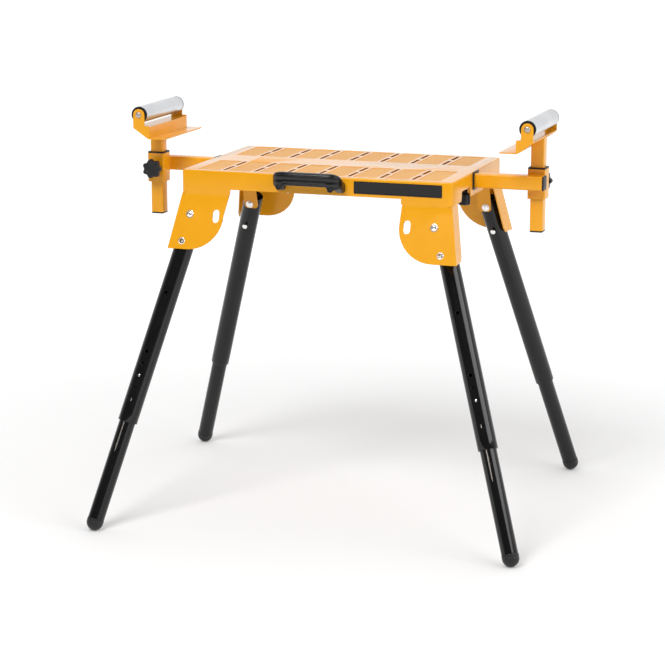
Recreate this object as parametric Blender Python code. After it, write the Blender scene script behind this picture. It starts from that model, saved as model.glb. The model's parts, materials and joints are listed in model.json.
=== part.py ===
"""Folding miter saw stand with two sliding roller arms.

Metres, +Z up, floor at z = 0, front side facing -Y. One half of the stand is made once and placed twice,
the second time turned half a turn about Z. The table top, carry handle and blank plate are single.
"""

import math

import bmesh
import bpy
from mathutils import Matrix

# Clearances
GAP = 0.0003
RUN = 0.0005
SMOOTH_ANGLE = math.radians(32)

# Table top, a pressed sheet pan
TABLE_LENGTH = 0.600
TABLE_DEPTH = 0.394
TABLE_HEIGHT = 0.760
SHEET = 0.002
APRON_END_DROP = 0.050
APRON_MIDDLE_DROP = 0.039
APRON_STEP_INSET = 0.110
END_NOTCH_DROP = 0.029
END_NOTCH_INSET = 0.072
END_NOTCH_MARGIN = 0.012
END_NOTCH_SLANT = 0.005
CORNER_RADIUS = 0.007
EDGE_RADIUS = 0.003
SLOT_COLUMNS = 7
SLOT_PITCH = 0.070
SLOT_WIDTH = 0.008
SLOT_LENGTH = 0.060
SLOT_FIRST_Y = 0.046
SLOT_STEP_Y = 0.072
PANEL_DEPTH = 0.0008
PANEL_LENGTH = 0.050
PANEL_NEAR_Y = 0.043
PANEL_FAR_Y = 0.183

# Leg brackets
TILT = math.radians(18)
BRACKET_SHEET = 0.0025
BEND_DROP = 0.0505
STRIP_HEIGHT = 0.035
STRIP_SIDE_GAP = 0.010
BRACKET_WIDTH = 0.108
BRACKET_FLARE = 0.021
PIVOT_DROP = 0.0455
PIVOT_A_INSET = 0.023
PIVOT_B_INSET = 0.034
LOCK_RADIUS = 0.060
LOCK_MARGIN = 0.016
SLOT_GUARD = 0.0075
SLOT_ABOVE = 0.006
TAB_BELOW = 0.010
TAB_OUT = 0.012
TAB_REACH = 0.019
TAB_CORNER = 0.005
TAB_GAP = 0.001
FLANGE_CHAMFER = 0.006
FLANGE_RISE = 0.35
WEB_DROP = 0.0045

# Legs
SPLAY_A = math.radians(12.9)
FOLD_DROP = math.radians(10.5)
LEG_RADIUS = 0.021
LEG_WALL = 0.0015
LEG_ABOVE_PIVOT = 0.011
UPPER_LENGTH = 0.465
LIP_LENGTH = 0.012
LOWER_RADIUS = 0.0175
LOWER_TOP = 0.334
COLLAR_LENGTH = 0.015
LEG_GAP = 0.0035
SPARE_HOLE = 0.175
HOLE_FIRST = 0.308
HOLE_PITCH = 0.027
HOLE_COUNT = 5
HOLE_USED = 2
FOOT_RADIUS = 0.018
FOOT_COLLAR = 0.008
FOOT_SPIGOT = 0.025

# Pivot bolts, lock pins and snap buttons
BOLT_RADIUS = 0.005
BOLT_HEAD_RADIUS = 0.0085
BOLT_HEAD = 0.005
SHOULDER_RADIUS = 0.008
PIN_RADIUS = 0.0045
PIN_HEAD_RADIUS = 0.007
PIN_HEAD = 0.003
BUTTON_RADIUS = 0.0035
BUTTON_HEAD_RADIUS = 0.005
BUTTON_HEAD = 0.0015
TRAVEL = 0.0048

# Arm guides, arms and sleeves
GUIDE_SIZE = 0.034
GUIDE_WALL = 0.0015
GUIDE_SETBACK = 0.010
GUIDE_LENGTH = 0.438
BUSH_WALL = 0.0012
BUSH_FLANGE = 0.0027
BUSH_FLANGE_WIDTH = 0.042
BUSH_FLANGE_HEIGHT = 0.038
ARM_SIZE = 0.030
ARM_WALL = 0.0015
ARM_LENGTH = 0.461
PLUG_FLANGE = 0.003
PLUG_DEPTH = 0.010
SLEEVE_SIZE = 0.038
SLEEVE_WALL = 0.002
SLEEVE_DROP = 0.057
SLEEVE_RISE = 0.007
WELD = 0.0005
BOSS_RADIUS = 0.008
BOSS_HEIGHT = 0.005

# Posts and roller heads
POST_REACH = 0.130
POST_SIZE = 0.028
POST_WALL = 0.002
POST_DROP = 0.126
POST_BUSH_DEPTH = 0.020
POST_BUSH_RIM = 0.003
HEAD_RISE = 0.074
HEAD_SHEET = 0.0025
HEAD_LENGTH = 0.216
HEAD_WALL_OUT = 0.0215
HEAD_WALL_DROP = 0.024
HEAD_LIP_WIDTH = 0.036
EAR_RADIUS = 0.0135
ROLLER_RISE = 0.0284
ROLLER_RADIUS = 0.018
ROLLER_WALL = 0.002
ROLLER_CAP = 0.003
ROLLER_CAP_PLUG = 0.012
AXLE_RADIUS = 0.005
AXLE_HEAD_RADIUS = 0.0065
AXLE_HEAD = 0.003

# Knobs
STUD_RADIUS = 0.004
POST_KNOB_DROP = 0.025
POST_KNOB_RADIUS = 0.0195
POST_KNOB_LOBES = 7
POST_KNOB_LOBE_DEPTH = 0.002
POST_KNOB_THICK = 0.018
POST_KNOB_NECK = 0.006
ARM_KNOB_INSET = 0.024
ARM_KNOB_RADIUS = 0.0125
ARM_KNOB_LOBES = 6
ARM_KNOB_LOBE_DEPTH = 0.0014
ARM_KNOB_THICK = 0.025
ARM_KNOB_NECK = 0.008

# Handle and blank plate
HANDLE_PLATE_GAP = 0.019
HANDLE_HALF = 0.066
HANDLE_REACH = 0.034
HANDLE_DROP = 0.021
HANDLE_RISE = 0.018
HANDLE_HALF_HEIGHT = 0.0125
HANDLE_HALF_DEPTH = 0.0105
HANDLE_SQUARENESS = 0.42
HANDLE_STATIONS = 17
PLATE_INSET = 0.117
PLATE_DROP = 0.0195
PLATE_LENGTH = 0.191
PLATE_HEIGHT = 0.026
PLATE_THICK = 0.0012

# Worked-out places
END_X = TABLE_LENGTH / 2
FRONT_Y = TABLE_DEPTH / 2
UNDERSIDE = TABLE_HEIGHT - SHEET
BEND_Z = TABLE_HEIGHT - BEND_DROP
BRACKET_Y = FRONT_Y - SHEET - GAP
AXIS_A = BRACKET_SHEET + RUN + LEG_RADIUS
AXIS_B = AXIS_A + 2 * LEG_RADIUS + LEG_GAP
LEG_BORE = LEG_RADIUS - LEG_WALL
LOWER_BORE = LOWER_RADIUS - LEG_WALL
ARM_Y = GUIDE_SIZE / 2 + GAP
ARM_Z = UNDERSIDE - GAP - GUIDE_SIZE / 2
GUIDE_OUTER_X = END_X - SHEET - GUIDE_SETBACK
GUIDE_INNER_X = GUIDE_OUTER_X - GUIDE_LENGTH
POST_X = END_X + POST_REACH
ARM_END_X = POST_X + SLEEVE_SIZE / 2 + GAP
ARM_INNER_X = ARM_END_X - ARM_LENGTH
ARM_KNOB_X = END_X - ARM_KNOB_INSET
SLEEVE_BOTTOM = TABLE_HEIGHT - SLEEVE_DROP
SLEEVE_TOP = TABLE_HEIGHT + SLEEVE_RISE
POST_BOTTOM = TABLE_HEIGHT - POST_DROP
POST_KNOB_Z = TABLE_HEIGHT - POST_KNOB_DROP
HEAD_BASE_Z = TABLE_HEIGHT + HEAD_RISE
ROLLER_Z = HEAD_BASE_Z + ROLLER_RISE
HANDLE_FOOT_Z = TABLE_HEIGHT - HANDLE_DROP
PLATE_X = END_X - PLATE_INSET
HANDLE_X = PLATE_X - PLATE_LENGTH / 2 - HANDLE_PLATE_GAP - HANDLE_HALF_DEPTH - HANDLE_HALF
PLATE_Z = TABLE_HEIGHT - PLATE_DROP
PIVOT_A_X = END_X - PIVOT_A_INSET
PIVOT_B_X = END_X - PIVOT_B_INSET
BRACKET_TOP_IN = END_X - BRACKET_WIDTH
APRON_STEP_X = END_X - APRON_STEP_INSET
POST_Y = -ARM_Y + ARM_SIZE / 2 + SLEEVE_SIZE / 2 - WELD
BRACKET_FALL = PIVOT_DROP + LOCK_RADIUS + LOCK_MARGIN


def pivot_height(axis_depth):
    """Height of a leg pivot above the floor."""
    return BEND_Z - axis_depth * math.sin(TILT) - PIVOT_DROP * math.cos(TILT)


LEG_LENGTH = (pivot_height(AXIS_A) - FOOT_RADIUS) / (math.cos(SPLAY_A) * math.cos(TILT))
SPLAY_B = math.acos((pivot_height(AXIS_B) - FOOT_RADIUS) / (LEG_LENGTH * math.cos(TILT)))
CORNER = Matrix.Translation((0, -BRACKET_Y, BEND_Z)) @ Matrix.Rotation(-TILT, 4, "X")


def clear_scene():
    for obj in list(bpy.data.objects):
        bpy.data.objects.remove(obj, do_unlink=True)


def paint(name, colour, roughness, metallic):
    """A Principled material in one colour."""
    made = bpy.data.materials.new(name)
    made.use_nodes = True
    shader = made.node_tree.nodes["Principled BSDF"]
    shader.inputs["Base Color"].default_value = (*colour, 1)
    shader.inputs["Roughness"].default_value = roughness
    shader.inputs["Metallic"].default_value = metallic
    made.diffuse_color = (*colour, 1)
    return made


def along(axis, a, b, height):
    """A point from two cross coordinates and a height along the axis."""
    if axis == "X":
        return (height, a, b)
    if axis == "Y":
        return (a, height, b)
    return (a, b, height)


def skin(rings, closed=False):
    """A solid through rings of points. A closed run of rings makes a tube, an open one gets two end caps."""
    bm = bmesh.new()
    loops = [[bm.verts.new(point) for point in ring] for ring in rings]
    count = max(len(loop) for loop in loops)
    pairs = list(zip(loops, loops[1:]))
    if closed:
        pairs.append((loops[-1], loops[0]))
    for low, high in pairs:
        for i in range(count):
            j = (i + 1) % count
            corners = (low[i % len(low)], low[j % len(low)], high[j % len(high)], high[i % len(high)])
            bm.faces.new(list(dict.fromkeys(corners)))
    if not closed:
        for loop in (loops[0], loops[-1]):
            if len(loop) > 2:
                bm.faces.new(loop)
    bmesh.ops.recalc_face_normals(bm, faces=bm.faces)
    return bm


def prism(outline, low, high, axis):
    """A flat outline swept from low to high along an axis."""
    return skin([[along(axis, a, b, height) for a, b in outline] for height in (low, high)])


def box(low, high):
    corners = [(low[0], low[1]), (high[0], low[1]), (high[0], high[1]), (low[0], high[1])]
    return prism(corners, low[2], high[2], "Z")


def lathe(profile, axis, segments=20, closed=False):
    """Turns (radius, height) points round an axis. A point of radius 0 becomes one vertex."""
    rings = []
    for radius, height in profile:
        count = segments if radius > 0 else 1
        turns = [2 * math.pi * i / segments for i in range(count)]
        rings.append([along(axis, radius * math.cos(t), radius * math.sin(t), height) for t in turns])
    return skin(rings, closed)


def rod(radius, low, high, axis, segments=14):
    return lathe([(0, low), (radius, low), (radius, high), (0, high)], axis, segments)


def rounded(width, depth, radius, steps=3):
    """Outline of a rectangle with round corners, centred on the origin."""
    points = []
    for corner in range(4):
        cx = (width / 2 - radius) * (1 if corner in (0, 3) else -1)
        cy = (depth / 2 - radius) * (1 if corner in (0, 1) else -1)
        for step in range(steps + 1):
            turn = math.pi / 2 * (corner + step / steps)
            points.append((cx + radius * math.cos(turn), cy + radius * math.sin(turn)))
    return points


def obround(width, length, steps=4):
    """Outline of a slot along its second coordinate, centred on the origin."""
    points = []
    for end in (1, -1):
        for step in range(steps + 1):
            turn = math.pi * step / steps + (0 if end > 0 else math.pi)
            middle = end * (length - width) / 2
            points.append((width / 2 * math.cos(turn), middle + width / 2 * math.sin(turn)))
    return points


def section(axis, width, depth, radius, height):
    """One rounded rectangle ring at a height along the axis."""
    return [along(axis, a, b, height) for a, b in rounded(width, depth, radius)]


def square_tube(size, wall, low, high, axis, radius=0.003):
    inner = size - 2 * wall
    inner_radius = max(radius - wall, 0.0008)
    rings = [
        section(axis, size, size, radius, low),
        section(axis, size, size, radius, high),
        section(axis, inner, inner, inner_radius, high),
        section(axis, inner, inner, inner_radius, low),
    ]
    return skin(rings, closed=True)


def shifted(bm, x, y, z):
    bmesh.ops.translate(bm, vec=(x, y, z), verts=bm.verts)
    return bm


def moved(bm, matrix):
    bmesh.ops.transform(bm, matrix=matrix, verts=bm.verts)
    return bm


def helper(bm):
    """A short-lived object for a Boolean."""
    mesh = bpy.data.meshes.new("helper")
    bm.to_mesh(mesh)
    bm.free()
    obj = bpy.data.objects.new("helper", mesh)
    bpy.context.scene.collection.objects.link(obj)
    return obj


def combine(base, others, operation):
    """The base solid with the others joined to it (UNION) or cut from it (DIFFERENCE)."""
    target = helper(base)
    tools = [helper(other) for other in others]
    for tool in tools:
        step = target.modifiers.new("step", "BOOLEAN")
        step.operation = operation
        step.solver = "EXACT"
        step.object = tool
    graph = bpy.context.evaluated_depsgraph_get()
    result = bmesh.new()
    result.from_object(target, graph)
    for obj in [target, *tools]:
        bpy.data.objects.remove(obj, do_unlink=True)
    bmesh.ops.remove_doubles(result, verts=result.verts, dist=1e-6)
    bmesh.ops.dissolve_degenerate(result, dist=1e-6, edges=result.edges)
    return result


def joined(base, *others):
    return combine(base, others, "UNION")


def cut(base, *others):
    return combine(base, others, "DIFFERENCE")


def mesh_of(name, bm, finish):
    """The finished mesh, smooth on round faces and sharp at corners."""
    bmesh.ops.recalc_face_normals(bm, faces=bm.faces)
    mesh = bpy.data.meshes.new(name)
    bm.to_mesh(mesh)
    bm.free()
    mesh.shade_smooth()
    mesh.set_sharp_from_angle(angle=SMOOTH_ANGLE)
    mesh.materials.append(finish)
    return mesh


def put(name, mesh, parent, place):
    obj = bpy.data.objects.new(name, mesh)
    bpy.context.scene.collection.objects.link(obj)
    obj.parent = parent
    obj.matrix_local = place
    return obj


def half_frame(name, turn):
    frame = bpy.data.objects.new(name, None)
    frame.rotation_euler = (0, 0, turn)
    bpy.context.scene.collection.objects.link(frame)
    return frame


def slot_centres():
    """Middle of every slot in the table top."""
    columns = [(i - (SLOT_COLUMNS - 1) / 2) * SLOT_PITCH for i in range(SLOT_COLUMNS)]
    first = SLOT_FIRST_Y + SLOT_LENGTH / 2
    rows = [-first - SLOT_STEP_Y, -first, first, first + SLOT_STEP_Y]
    return [(x, y) for x in columns for y in rows]


def panel_centres():
    """Middle of every pressed panel between the slot columns."""
    columns = [(i - SLOT_COLUMNS / 2) * SLOT_PITCH for i in range(SLOT_COLUMNS + 1)]
    middle = (PANEL_NEAR_Y + PANEL_FAR_Y) / 2
    return [(x, y) for x in columns for y in (-middle, middle)]


def table_top():
    """The pan, its slots, its pressed panels, stepped aprons, end notches and the two arm openings."""
    apron_z = TABLE_HEIGHT - APRON_END_DROP
    inner_length = TABLE_LENGTH - 2 * SHEET
    inner_depth = TABLE_DEPTH - 2 * SHEET
    inner_radius = CORNER_RADIUS - SHEET
    rings = [
        section("Z", inner_length, inner_depth, inner_radius, UNDERSIDE),
        section("Z", inner_length, inner_depth, inner_radius, apron_z),
        section("Z", TABLE_LENGTH, TABLE_DEPTH, CORNER_RADIUS, apron_z),
    ]
    for step in range(4):
        turn = math.pi / 6 * step
        inset = 2 * EDGE_RADIUS * (1 - math.cos(turn))
        rise = EDGE_RADIUS * math.sin(turn)
        corner = CORNER_RADIUS - inset / 2
        height = TABLE_HEIGHT - EDGE_RADIUS + rise
        rings.append(section("Z", TABLE_LENGTH - inset, TABLE_DEPTH - inset, corner, height))
    pan = skin(rings)
    cutters = []
    for x, y in panel_centres():
        outline = rounded(PANEL_LENGTH, PANEL_FAR_Y - PANEL_NEAR_Y, 0.004, 2)
        cutters.append(shifted(prism(outline, -PANEL_DEPTH, SHEET, "Z"), x, y, TABLE_HEIGHT))
    for x, y in slot_centres():
        outline = obround(SLOT_WIDTH, SLOT_LENGTH)
        cutters.append(shifted(prism(outline, -2 * SHEET, SHEET, "Z"), x, y, TABLE_HEIGHT))
    step_z = TABLE_HEIGHT - APRON_MIDDLE_DROP
    cutters.append(box((-APRON_STEP_X, -TABLE_DEPTH, apron_z - SHEET), (APRON_STEP_X, TABLE_DEPTH, step_z)))
    notch_near = ARM_Y + BUSH_FLANGE_WIDTH / 2 + END_NOTCH_MARGIN
    notch_far = FRONT_Y - END_NOTCH_INSET
    notch_z = TABLE_HEIGHT - END_NOTCH_DROP
    for side in (1, -1):
        outline = [
            (side * notch_near, apron_z - SHEET),
            (side * notch_far, apron_z - SHEET),
            (side * (notch_far - END_NOTCH_SLANT), notch_z),
            (side * (notch_near + END_NOTCH_SLANT), notch_z),
        ]
        cutters.append(prism(outline, -TABLE_LENGTH, TABLE_LENGTH, "X"))
    hole = GUIDE_SIZE - 2 * GAP
    for side in (1, -1):
        opening = prism(rounded(hole, hole, 0.003), -2 * SHEET, 2 * SHEET, "X")
        cutters.append(shifted(opening, side * (TABLE_LENGTH - SHEET) / 2, -side * ARM_Y, ARM_Z))
    return cut(pan, *cutters)


def leg_bracket(out, pivot_x, axis_depth):
    """Bent plate with an end flange, a web above the leg and a tab that hangs from it on the inner side.

    out is +1 or -1, the outward X direction.
    """
    edge = END_X
    bottom = -BRACKET_FALL
    arc_radius = LOCK_RADIUS + LOCK_MARGIN
    slope = BRACKET_FLARE / BRACKET_FALL
    tab_front = axis_depth + LEG_RADIUS + TAB_GAP
    tab_back = tab_front + BRACKET_SHEET

    outline = [
        (BRACKET_TOP_IN, 0.001),
        (edge - STRIP_SIDE_GAP, 0.001),
        (edge, 0),
        (edge - bottom * slope, bottom),
    ]
    for step in range(11):
        turn = math.pi / 2 * step / 10
        outline.append((pivot_x - arc_radius * math.sin(turn), -PIVOT_DROP - arc_radius * math.cos(turn)))
    plate = prism([(out * x, z) for x, z in outline], 0, BRACKET_SHEET, "Y")

    flange_depth = AXIS_A + LEG_RADIUS + TAB_GAP + BRACKET_SHEET + 0.001
    level = math.tan(TILT)
    slant_end = flange_depth - FLANGE_CHAMFER
    profile = [
        (BRACKET_SHEET / 2, bottom + 0.001),
        (slant_end, bottom + FLANGE_RISE * slant_end),
        (flange_depth, bottom + FLANGE_RISE * slant_end + 2 * FLANGE_CHAMFER),
        (flange_depth, flange_depth * level),
        (BRACKET_SHEET / 2, BRACKET_SHEET / 2 * level),
    ]
    flange = prism(profile, edge - BRACKET_SHEET, edge - 0.0001, "X")
    for vert in flange.verts:
        vert.co.x = out * (vert.co.x - vert.co.z * slope)

    under = BRACKET_SHEET / math.cos(TILT)
    inside = pivot_x - TAB_REACH
    outside = pivot_x + TAB_OUT
    shelf = [
        (inside, BRACKET_SHEET / 2),
        (edge - BRACKET_SHEET / 2, BRACKET_SHEET / 2),
        (edge - BRACKET_SHEET / 2, flange_depth - 0.001),
        (outside, flange_depth - 0.001),
        (outside, tab_back),
        (inside, tab_back),
    ]
    web = prism(shelf, -WEB_DROP - under, -WEB_DROP, "Z")
    for vert in web.verts:
        vert.co.z += vert.co.y * level
        lean = vert.co.z * slope if vert.co.x > outside + GAP else 0
        vert.co.x = out * (vert.co.x - lean)

    tab_low = -PIVOT_DROP - TAB_BELOW
    tab_top = tab_front * level - WEB_DROP - under / 2
    outline = [
        (inside, tab_top),
        (inside, tab_low + TAB_CORNER),
        (inside + TAB_CORNER, tab_low),
        (outside - TAB_CORNER, tab_low),
        (outside, tab_low + TAB_CORNER),
        (outside, tab_top),
    ]
    tab = prism([(out * x, z) for x, z in outline], tab_front, tab_back, "Y")
    for part in (flange, web, tab):
        bmesh.ops.recalc_face_normals(part, faces=part.faces)

    strip_in = min(out * (BRACKET_TOP_IN + 0.002), out * (edge - STRIP_SIDE_GAP))
    strip_out = max(out * (BRACKET_TOP_IN + 0.002), out * (edge - STRIP_SIDE_GAP))
    strip = box(
        (strip_in, -BRACKET_Y, BEND_Z - 0.003),
        (strip_out, -BRACKET_Y + BRACKET_SHEET, BEND_Z + STRIP_HEIGHT),
    )

    hole = BOLT_RADIUS + GAP
    pivot_cut = shifted(rod(hole, -0.01, tab_back + 0.01, "Y"), out * pivot_x, 0, -PIVOT_DROP)
    splay = SPLAY_A if axis_depth == AXIS_A else SPLAY_B
    lock_x = out * (pivot_x + LOCK_RADIUS * math.sin(splay))
    lock_z = -PIVOT_DROP - LOCK_RADIUS * math.cos(splay)
    lock_cut = shifted(rod(PIN_RADIUS + RUN, -0.01, 0.01, "Y"), lock_x, 0, lock_z)
    slot_x = out * (pivot_x - LOCK_RADIUS * math.cos(FOLD_DROP))
    slot_low = -LOCK_RADIUS * math.sin(FOLD_DROP) - PIN_RADIUS - RUN
    slot_high = SLOT_ABOVE + SLOT_GUARD
    slot = prism(obround(2 * SLOT_GUARD, slot_high - slot_low), -0.01, 0.01, "Y")
    slot_cut = shifted(slot, slot_x, 0, -PIVOT_DROP + (slot_high + slot_low) / 2 - RUN)

    bent = cut(joined(plate, flange, web, tab), pivot_cut, lock_cut, slot_cut)
    return joined(moved(bent, CORNER), strip)


def pivot_bolt(axis_depth):
    """Bolt through plate, leg and tab, with its nut. A leg set further in rests on a shoulder."""
    tab_back = axis_depth + LEG_RADIUS + TAB_GAP + BRACKET_SHEET
    profile = [
        (0, -GAP - BOLT_HEAD),
        (BOLT_HEAD_RADIUS, -GAP - BOLT_HEAD),
        (BOLT_HEAD_RADIUS, -GAP),
        (BOLT_RADIUS, -GAP),
    ]
    shoulder_end = axis_depth - LEG_RADIUS - GAP
    if shoulder_end > BRACKET_SHEET + 0.003:
        profile += [
            (BOLT_RADIUS, BRACKET_SHEET + GAP),
            (SHOULDER_RADIUS, BRACKET_SHEET + GAP),
            (SHOULDER_RADIUS, shoulder_end),
            (BOLT_RADIUS, shoulder_end),
        ]
    profile += [
        (BOLT_RADIUS, tab_back + GAP),
        (BOLT_HEAD_RADIUS, tab_back + GAP),
        (BOLT_HEAD_RADIUS, tab_back + GAP + BOLT_HEAD),
        (0, tab_back + GAP + BOLT_HEAD),
    ]
    return lathe(profile, "Y", 16)


def upper_leg():
    lip_bore = LOWER_RADIUS + GAP
    lip_top = -UPPER_LENGTH + LIP_LENGTH
    profile = [
        (LEG_RADIUS, LEG_ABOVE_PIVOT),
        (LEG_RADIUS, -UPPER_LENGTH),
        (lip_bore, -UPPER_LENGTH),
        (lip_bore, lip_top),
        (LEG_BORE, lip_top + 0.002),
        (LEG_BORE, LEG_ABOVE_PIVOT),
    ]
    tube = lathe(profile, "Z", 24, closed=True)
    reach = 2 * LEG_RADIUS
    cutters = [
        rod(BOLT_RADIUS + GAP, -reach, reach, "Y"),
        shifted(rod(PIN_RADIUS + GAP, -reach, reach, "Y"), 0, 0, -LOCK_RADIUS),
        shifted(rod(BUTTON_RADIUS + GAP, -reach, 0, "Y", 10), 0, 0, -SPARE_HOLE),
    ]
    for i in range(HOLE_COUNT):
        hole = rod(BUTTON_RADIUS + RUN, -reach, 0, "Y", 10)
        cutters.append(shifted(hole, 0, 0, -HOLE_FIRST - i * HOLE_PITCH))
    return cut(tube, *cutters)


def lower_leg():
    bottom = -LEG_LENGTH + FOOT_COLLAR + GAP
    profile = [
        (LOWER_BORE, -LOWER_TOP),
        (LEG_BORE - GAP, -LOWER_TOP),
        (LEG_BORE - GAP, -LOWER_TOP - COLLAR_LENGTH),
        (LOWER_RADIUS, -LOWER_TOP - COLLAR_LENGTH),
        (LOWER_RADIUS, bottom),
        (LOWER_BORE, bottom),
    ]
    tube = lathe(profile, "Z", 24, closed=True)
    hole = rod(BUTTON_RADIUS + GAP, -2 * LEG_RADIUS, 0, "Y", 10)
    return cut(tube, shifted(hole, 0, 0, -HOLE_FIRST - HOLE_USED * HOLE_PITCH))


def foot():
    collar = -LEG_LENGTH + FOOT_COLLAR
    spigot = LOWER_BORE - GAP
    profile = [(0, collar + FOOT_SPIGOT), (spigot, collar + FOOT_SPIGOT), (spigot, collar)]
    profile.append((FOOT_RADIUS, collar))
    for step in range(5):
        turn = math.pi / 2 * step / 5
        profile.append((FOOT_RADIUS * math.cos(turn), -LEG_LENGTH - FOOT_RADIUS * math.sin(turn)))
    profile.append((0, -LEG_LENGTH - FOOT_RADIUS))
    return lathe(profile, "Z")


def lock_pin(axis_depth):
    """Pin across the upper leg. Its tip waits just behind the bracket plate."""
    tip = -(axis_depth - BRACKET_SHEET - RUN)
    head = LEG_RADIUS + GAP + TRAVEL
    profile = [
        (0, tip),
        (PIN_RADIUS - 0.0008, tip),
        (PIN_RADIUS, tip + 0.0008),
        (PIN_RADIUS, head),
        (PIN_HEAD_RADIUS, head),
        (PIN_HEAD_RADIUS, head + PIN_HEAD),
        (0, head + PIN_HEAD),
    ]
    return lathe(profile, "Y", 16)


def snap_button():
    """Button in the wall of the lower leg, stored pressed in behind the upper leg's bore."""
    tip = -(LEG_BORE - GAP)
    head = -math.sqrt((LOWER_BORE - GAP) ** 2 - BUTTON_HEAD_RADIUS**2) + TRAVEL
    profile = [
        (0, tip),
        (BUTTON_RADIUS - 0.001, tip),
        (BUTTON_RADIUS, tip + 0.001),
        (BUTTON_RADIUS, head),
        (BUTTON_HEAD_RADIUS, head),
        (BUTTON_HEAD_RADIUS, head + BUTTON_HEAD),
        (0, head + BUTTON_HEAD),
    ]
    return lathe(profile, "Y", 10)


def arm_guide():
    """Square tube under the deck with a nut for the arm knob. Origin on the arm's axis at x = 0."""
    tube = square_tube(GUIDE_SIZE, GUIDE_WALL, GUIDE_INNER_X, GUIDE_OUTER_X, "X")
    low = -GUIDE_SIZE / 2
    boss = shifted(rod(BOSS_RADIUS, low - BOSS_HEIGHT, low + GUIDE_WALL / 2, "Z"), ARM_KNOB_X, 0, 0)
    hole = shifted(rod(STUD_RADIUS + GAP, 2 * low, 0, "Z"), ARM_KNOB_X, 0, 0)
    return cut(joined(tube, boss), hole)


def guide_bush():
    """Flanged bush in the end apron. Origin on the arm's axis at x = 0."""
    inside = GUIDE_OUTER_X + GAP
    face = END_X + GAP
    bore = ARM_SIZE + 2 * RUN - 0.0002
    outer = bore + 2 * BUSH_WALL
    rings = [
        section("X", outer, outer, 0.003, inside),
        section("X", outer, outer, 0.003, face),
        section("X", BUSH_FLANGE_WIDTH, BUSH_FLANGE_HEIGHT, 0.003, face),
        section("X", BUSH_FLANGE_WIDTH, BUSH_FLANGE_HEIGHT, 0.003, face + BUSH_FLANGE),
        section("X", bore, bore, 0.0025, face + BUSH_FLANGE),
        section("X", bore, bore, 0.0025, inside),
    ]
    return skin(rings, closed=True)


def extension_arm():
    """Arm tube with the upright sleeve welded to its side. Origin on the arm's axis at x = 0."""
    tube = square_tube(ARM_SIZE, ARM_WALL, ARM_INNER_X, ARM_END_X, "X")
    sleeve = square_tube(SLEEVE_SIZE, SLEEVE_WALL, SLEEVE_BOTTOM - ARM_Z, SLEEVE_TOP - ARM_Z, "Z")
    sleeve_y = POST_Y + ARM_Y
    face = sleeve_y + SLEEVE_SIZE / 2
    knob_z = POST_KNOB_Z - ARM_Z
    boss = shifted(rod(BOSS_RADIUS, face - SLEEVE_WALL / 2, face + BOSS_HEIGHT, "Y"), POST_X, 0, knob_z)
    start = sleeve_y + POST_SIZE / 2
    hole = shifted(rod(STUD_RADIUS + GAP, start, face + 2 * BOSS_HEIGHT, "Y"), POST_X, 0, knob_z)
    return cut(joined(tube, shifted(sleeve, POST_X, sleeve_y, 0), boss), hole)


def tube_plug(size, wall, end, direction, axis):
    """Plug with a thin flange on the end of a square tube. direction is the way out of the tube."""
    inner = size - 2 * wall - 2 * GAP
    face = end + direction * GAP
    rings = [
        section(axis, inner, inner, 0.002, face - direction * PLUG_DEPTH),
        section(axis, inner, inner, 0.002, face),
        section(axis, size, size, 0.003, face),
        section(axis, size, size, 0.003, face + direction * PLUG_FLANGE),
    ]
    return skin(rings)


def post_bush():
    """Bush in the top of the sleeve. Origin on the post's axis at z = 0."""
    outer = SLEEVE_SIZE - 2 * SLEEVE_WALL - 2 * GAP
    bore = POST_SIZE + 2 * GAP
    face = SLEEVE_TOP + GAP
    rings = [
        section("Z", outer, outer, 0.002, face - POST_BUSH_DEPTH),
        section("Z", outer, outer, 0.002, face),
        section("Z", SLEEVE_SIZE, SLEEVE_SIZE, 0.003, face),
        section("Z", SLEEVE_SIZE, SLEEVE_SIZE, 0.003, face + POST_BUSH_RIM),
        section("Z", bore, bore, 0.0025, face + POST_BUSH_RIM),
        section("Z", bore, bore, 0.0025, face - POST_BUSH_DEPTH),
    ]
    return skin(rings, closed=True)


def support_post():
    return square_tube(POST_SIZE, POST_WALL, POST_BOTTOM, HEAD_BASE_Z - GAP, "Z")


def roller_head():
    """Bent sheet with a stop lip and two ears. Origin on the post's axis at z = 0."""
    half = HEAD_LENGTH / 2
    top = HEAD_BASE_Z + HEAD_SHEET
    wall_in = -HEAD_WALL_OUT
    wall_out = wall_in - HEAD_SHEET
    lip_low = top - HEAD_WALL_DROP - HEAD_SHEET
    lip_top = lip_low + HEAD_SHEET
    outline = [
        (wall_out - HEAD_LIP_WIDTH, lip_low),
        (wall_in, lip_low),
        (wall_in, HEAD_BASE_Z),
        (EAR_RADIUS, HEAD_BASE_Z),
        (EAR_RADIUS, top),
        (wall_out, top),
        (wall_out, lip_top),
        (wall_out - HEAD_LIP_WIDTH, lip_top),
    ]
    sheet = prism(outline, -half + HEAD_SHEET / 2, half - HEAD_SHEET / 2, "Y")
    inset = HEAD_SHEET / 6
    ear = [
        (wall_out + inset, lip_low + inset),
        (wall_in, lip_low + inset),
        (EAR_RADIUS - inset, HEAD_BASE_Z - inset),
        (EAR_RADIUS - inset, ROLLER_Z),
    ]
    for step in range(1, 10):
        turn = math.pi * step / 10
        reach = EAR_RADIUS - inset
        ear.append((reach * math.cos(turn), ROLLER_Z + reach * math.sin(turn)))
    ear += [
        (-EAR_RADIUS + inset, ROLLER_Z),
        (-EAR_RADIUS + inset, top + HEAD_SHEET),
        (wall_out + inset, top + HEAD_SHEET),
    ]
    ears = [prism(ear, -half, -half + HEAD_SHEET, "Y"), prism(ear, half - HEAD_SHEET, half, "Y")]
    hole = shifted(rod(AXLE_RADIUS + GAP, -HEAD_LENGTH, HEAD_LENGTH, "Y"), 0, 0, ROLLER_Z)
    return cut(joined(sheet, *ears), hole)


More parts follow.
